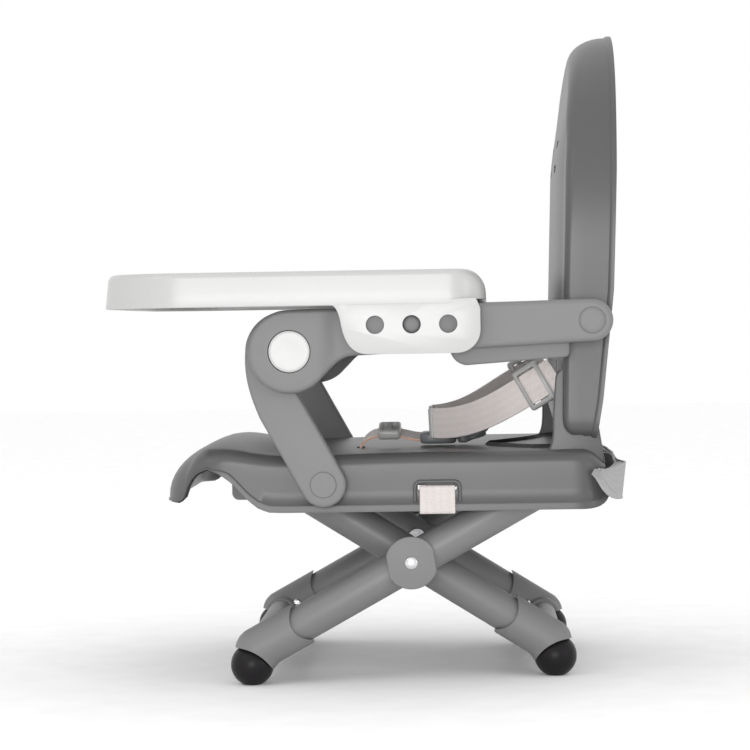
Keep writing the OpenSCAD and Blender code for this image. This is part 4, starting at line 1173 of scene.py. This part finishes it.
def build_straps():
    """The loops round the seat's lower rim, and the strap bunched behind it."""
    s = sizes()
    low, high = span("side_strap_left")
    x0, x1, z0, z1 = low[0] + 0.8, high[0] - 0.8, low[2] + 0.8, high[2] - 0.8
    section = even(round_rect(x0, x1, z0, z1, 1.5, 1.5, 5), 0.9)
    # The loops take the harness webbing darkened as painted shade
    loop, length = band("side_strap_left", [(x, SLOT_Y, z) for x, z in section], [(0, 1, 0)] * len(section),
                        s.web - 0.2, s.web_t, material("plain_webbing"), closed=True)
    for piece in both_sides(loop, "seat", "web_pink", "side_strap"):
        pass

    low, high = span("rear_strap")
    z, rear = (low[2] + high[2]) / 2, high[1]
    edge = SEAT_X
    for k in range(3):
        depth = rear - 0.9 - (2 - k) * 2.6
        corner = (edge - 9, rear - 6 + k)
        half = (cubic((edge + 1.3 + 0.5 * k, rear - 24 + 2.5 * k), (edge + 1.5, rear - 15 + k),
                      (edge - 1, rear - 9 + k), corner, 10)
                + cubic(corner, (edge - 16, rear - 3), (edge - 26, depth), (edge - 44, depth), 10)[1:])
        half += [(x, depth - 0.5 * math.sin(x / 17 + k) ** 2) for x in range(int(edge) - 52, 6, -8)]
        flat = even(half + [(-x, y) for x, y in half[::-1]], 3.0, False)
        # Towards each end the webbing is folded to a point that sits higher
        ends = np.clip((flat[:, 1] - flat[0, 1]) / 16, 0, 1)
        shares = 0.18 + 0.82 * smooth(ends)
        wave = [(x, y, z + 7 * (1 - e) ** 1.5 + 0.8 * math.sin(x / 23 + k)) for (x, y), e in zip(flat, ends)]
        lean = [(0, 0.12 * math.sin(x / 31 + 2 * k), 1) for x, y in flat]
        wide = s.web + 0.5 - k
        layer, length = band(f"rear_strap_{k + 1}", wave, lean, wide, s.web_t, material("grey_webbing"),
                             shares=shares)
        finish_piece(layer, "seat", "web_grey", "rear_strap")


# ---------------------------------------------------------------- hardware


def scatter_tree(finish):
    """A Geometry Nodes tree that puts a copy of an object on each point."""
    tree = bpy.data.node_groups.new("copies_on_points", "GeometryNodeTree")
    tree.interface.new_socket("Geometry", in_out="INPUT", socket_type="NodeSocketGeometry")
    tree.interface.new_socket("Part", in_out="INPUT", socket_type="NodeSocketObject")
    tree.interface.new_socket("Size", in_out="INPUT", socket_type="NodeSocketFloat")
    tree.interface.new_socket("Geometry", in_out="OUTPUT", socket_type="NodeSocketGeometry")
    source = add(tree, "NodeGroupInput")
    part = add(tree, "GeometryNodeObjectInfo", values={"Object": source.outputs["Part"]})
    turn = add(tree, "GeometryNodeInputNamedAttribute", data_type="FLOAT_VECTOR", values={"Name": "turn"})
    copies = add(tree, "GeometryNodeInstanceOnPoints", values={
        "Points": source.outputs["Geometry"], "Instance": part.outputs["Geometry"],
        "Rotation": turn.outputs["Attribute"], "Scale": source.outputs["Size"]})
    real = add(tree, "GeometryNodeRealizeInstances", values={"Geometry": copies.outputs["Instances"]})
    done = add(tree, "GeometryNodeSetMaterial",
               values={"Geometry": real.outputs["Geometry"], "Material": finish})
    add(tree, "NodeGroupOutput", values={"Geometry": done.outputs["Geometry"]})
    return tree


def copies(name, part, places, finish, size=1.0):
    """One mesh of a part repeated at places, each a point in mm and a turn in radians."""
    mesh = bpy.data.meshes.new(name)
    mesh.from_pydata([tuple(c * MM for c in p) for p, _ in places], [], [])
    turn = mesh.attributes.new("turn", "FLOAT_VECTOR", "POINT")
    for i, (_, angles) in enumerate(places):
        turn.data[i].vector = angles
    obj = link(name, mesh)
    tree = scatter_tree(finish)
    mod = obj.modifiers.new("Copies", "NODES")
    mod.node_group = tree
    ids = {item.name: item.identifier for item in tree.interface.items_tree if item.in_out == "INPUT"}
    mod[ids["Part"]] = part
    mod[ids["Size"]] = size
    settle(obj, 35)
    bpy.data.objects.remove(part)
    return obj


def screw_part():
    """A pan-head screw with a cross recess, its head towards +X."""
    profile = [(-2.2, 1.75), (0, 1.75), (0, 3.3), (0.5, 3.3), (1.1, 2.9), (1.45, 2.0), (1.55, 0.2)]
    head = lathe("screw", profile, (0, 0), material("plated_steel"), n=32)
    recess = [block("cut", (0.7, -2.0, -0.42), (3, 2.0, 0.42)),
              block("cut", (0.7, -0.42, -2.0), (3, 0.42, 2.0))]
    combine(head, recess, "DIFFERENCE", 35)
    return head


def build_hardware():
    """Screws on the sleeves, and finishes for the CAD parts that stay."""
    for stem, body in (("front", "front_legs"), ("rear", "rear_legs")):
        low, high = span(f"sleeve_screws_{stem}")
        bar_low, bar_high = span(f"{stem}_foot_bar")
        # A little nearer the foot than the bore in the frame's tube
        y, z = 0.62 * (low[1:] + high[1:]) / 2 + 0.38 * (bar_low[1:] + bar_high[1:]) / 2
        x = high[0] - 3.0
        places = [((x - 0.1, y, z), (0, 0, math.pi)), ((-x + 0.1, y, z), (0, 0, 0))]
        screws = copies(f"sleeve_screws_{stem}", screw_part(), places, material("plated_steel"))
        finish_piece(screws, body, "steel", f"sleeve_screws_{stem}")
    plain = {
        "satin_polypropylene": ["front_catch"],
        "matt_polypropylene": ["leg_track_left", "leg_track_right", "leg_bracket_left", "leg_bracket_right",
                               "strut_pins"],
        "plated_steel": ["arm_pins", "track_pins", "fold_spring_left", "fold_spring_right",
                         "peg_spring_left", "peg_spring_right"],
    }
    for finish, nodes in plain.items():
        for node in nodes:
            obj = frame["nodes"][node]
            obj.data.materials.clear()
            obj.data.materials.append(material(finish))


# ------------------------------------------------------------------- stage


def build_stage():
    """A pale floor, soft studio lamps and the camera."""
    floor = bpy.data.meshes.new("floor")
    size = 6.0
    corners = [(-size, -size, 0), (size, -size, 0), (size, size, 0), (-size, size, 0)]
    floor.from_pydata(corners, [], [(0, 1, 2, 3)])
    obj = link("floor", floor)
    paper, tree = bare_material("studio_paper")
    where = add(tree, "ShaderNodeTexCoord").outputs["Object"]
    fibre = add(tree, "ShaderNodeTexNoise", values={"Vector": where, "Scale": 30.0, "Detail": 2.0})
    tone = ramp(tree, fibre.outputs["Fac"], [(0.3, linear("#FAFAFA")), (0.7, linear("#FFFFFF"))])
    skin_node = add(tree, "ShaderNodeBsdfPrincipled", values={"Base Color": tone, "Roughness": 0.9})
    add(tree, "ShaderNodeOutputMaterial", values={"Surface": skin_node.outputs["BSDF"]})
    floor.materials.append(paper)

    world = bpy.data.worlds.new("studio")
    bpy.context.scene.world = world
    world.use_nodes = True
    world.node_tree.nodes["Background"].inputs["Color"].default_value = (1, 1, 1, 1)
    world.node_tree.nodes["Background"].inputs["Strength"].default_value = 1.0

    target = Vector((0, 0, 0.23))
    # Name, place and width in metres, and power in watts
    lamps = [("front", (2.4, -0.1, 0.24), 0.9, 24), ("key", (1.3, -1.2, 1.3), 0.5, 2),
             ("top", (-0.3, 0.1, 2.2), 1.6, 2.5), ("rear_strip", (1.1, 1.6, 0.5), 0.5, 2)]
    for name, place, width, power in lamps:
        lamp = bpy.data.lights.new(name, "AREA")
        lamp.shape, lamp.size, lamp.energy = "SQUARE", width, power
        light = link(name, lamp)
        light.location = place
        light.rotation_euler = (target - Vector(place)).to_track_quat("-Z", "Y").to_euler()

    camera = bpy.data.cameras.new("camera")
    camera.lens, camera.sensor_width = 126.6, 36.0
    camera.clip_start, camera.clip_end = 0.05, 50.0
    eye = link("camera", camera)
    eye.location = (1.98, 0.0712, 0.252)
    yaw, pitch, roll = math.radians(1.98), math.radians(1.09), math.radians(0.9)
    ahead = Vector((-math.cos(yaw) * math.cos(pitch), -math.sin(yaw) * math.cos(pitch), -math.sin(pitch)))
    eye.rotation_mode = "QUATERNION"
    eye.rotation_quaternion = ahead.to_track_quat("-Z", "Y") @ Matrix.Rotation(-roll, 3, "Z").to_quaternion()
    bpy.context.scene.camera = eye
    bpy.context.scene.view_settings.view_transform = "Standard"


# --------------------------------------------------------------- operators


class HIGHCHAIR_OT_stage(bpy.types.Operator):
    """Makes the floor, the lamps and the camera"""
    bl_idname = "highchair.stage"
    bl_label = "Stage"

    def execute(self, context):
        build_stage()
        return {"FINISHED"}


class HIGHCHAIR_OT_seat(bpy.types.Operator):
    """Makes the seat shell, its hinge uprights and the beads round its strap slots"""
    bl_idname = "highchair.seat"
    bl_label = "Seat"

    def execute(self, context):
        build_seat()
        return {"FINISHED"}


class HIGHCHAIR_OT_backrest(bpy.types.Operator):
    """Makes the backrest shell with its strap slots"""
    bl_idname = "highchair.backrest"
    bl_label = "Backrest"

    def execute(self, context):
        build_backrest()
        return {"FINISHED"}


class HIGHCHAIR_OT_armrests(bpy.types.Operator):
    """Makes the armrests, their liners, caps and fold buttons"""
    bl_idname = "highchair.armrests"
    bl_label = "Armrests"

    def execute(self, context):
        build_armrests()
        return {"FINISHED"}


class HIGHCHAIR_OT_struts(bpy.types.Operator):
    """Makes the struts between the seat and the armrests"""
    bl_idname = "highchair.struts"
    bl_label = "Struts"

    def execute(self, context):
        build_struts()
        return {"FINISHED"}


class HIGHCHAIR_OT_tray(bpy.types.Operator):
    """Makes the tray, its flanges, the peg plates and the lock pegs"""
    bl_idname = "highchair.tray"
    bl_label = "Tray"

    def execute(self, context):
        build_tray()
        return {"FINISHED"}


class HIGHCHAIR_OT_legs(bpy.types.Operator):
    """Makes the two leg frames, their feet and the crossing"""
    bl_idname = "highchair.legs"
    bl_label = "Legs"

    def execute(self, context):
        build_legs()
        return {"FINISHED"}


class HIGHCHAIR_OT_harness(bpy.types.Operator):
    """Makes the waist straps, the crotch strap, their adjusters and the buckle"""
    bl_idname = "highchair.harness"
    bl_label = "Harness"

    def execute(self, context):
        build_harness()
        return {"FINISHED"}


class HIGHCHAIR_OT_straps(bpy.types.Operator):
    """Makes the side loops and the strap behind the seat"""
    bl_idname = "highchair.straps"
    bl_label = "Chair straps"

    def execute(self, context):
        build_straps()
        return {"FINISHED"}


class HIGHCHAIR_OT_hardware(bpy.types.Operator):
    """Makes the screws and gives the remaining parts their finishes"""
    bl_idname = "highchair.hardware"
    bl_label = "Hardware"

    def execute(self, context):
        build_hardware()
        return {"FINISHED"}


OPERATORS = [HIGHCHAIR_OT_stage, HIGHCHAIR_OT_seat, HIGHCHAIR_OT_backrest, HIGHCHAIR_OT_armrests,
             HIGHCHAIR_OT_struts, HIGHCHAIR_OT_tray, HIGHCHAIR_OT_legs, HIGHCHAIR_OT_harness,
             HIGHCHAIR_OT_straps, HIGHCHAIR_OT_hardware]


class HIGHCHAIR_PT_panel(bpy.types.Panel):
    """Lists the chair's sizes, colours and pieces"""
    bl_idname = "HIGHCHAIR_PT_panel"
    bl_label = "High Chair"
    bl_space_type = "VIEW_3D"
    bl_region_type = "UI"
    bl_category = "High Chair"

    def draw(self, context):
        for group in (context.scene.high_chair_sizes, context.scene.high_chair_colours):
            box = self.layout.box()
            for key in group.__annotations__:
                box.prop(group, key)
        for operator in OPERATORS:
            self.layout.operator(operator.bl_idname)


CLASSES = [HighChairColours, HighChairSizes, *OPERATORS, HIGHCHAIR_PT_panel]


def register():
    for cls in CLASSES:
        bpy.utils.register_class(cls)
    bpy.types.Scene.high_chair_colours = PointerProperty(type=HighChairColours)
    bpy.types.Scene.high_chair_sizes = PointerProperty(type=HighChairSizes)


def unregister():
    del bpy.types.Scene.high_chair_sizes
    del bpy.types.Scene.high_chair_colours
    for cls in reversed(CLASSES):
        bpy.utils.unregister_class(cls)


def main():
    register()
    for operator in OPERATORS:
        group, name = operator.bl_idname.split(".")
        getattr(getattr(bpy.ops, group), name)()
    bpy.context.view_layer.update()


if __name__ == "__main__":
    main()
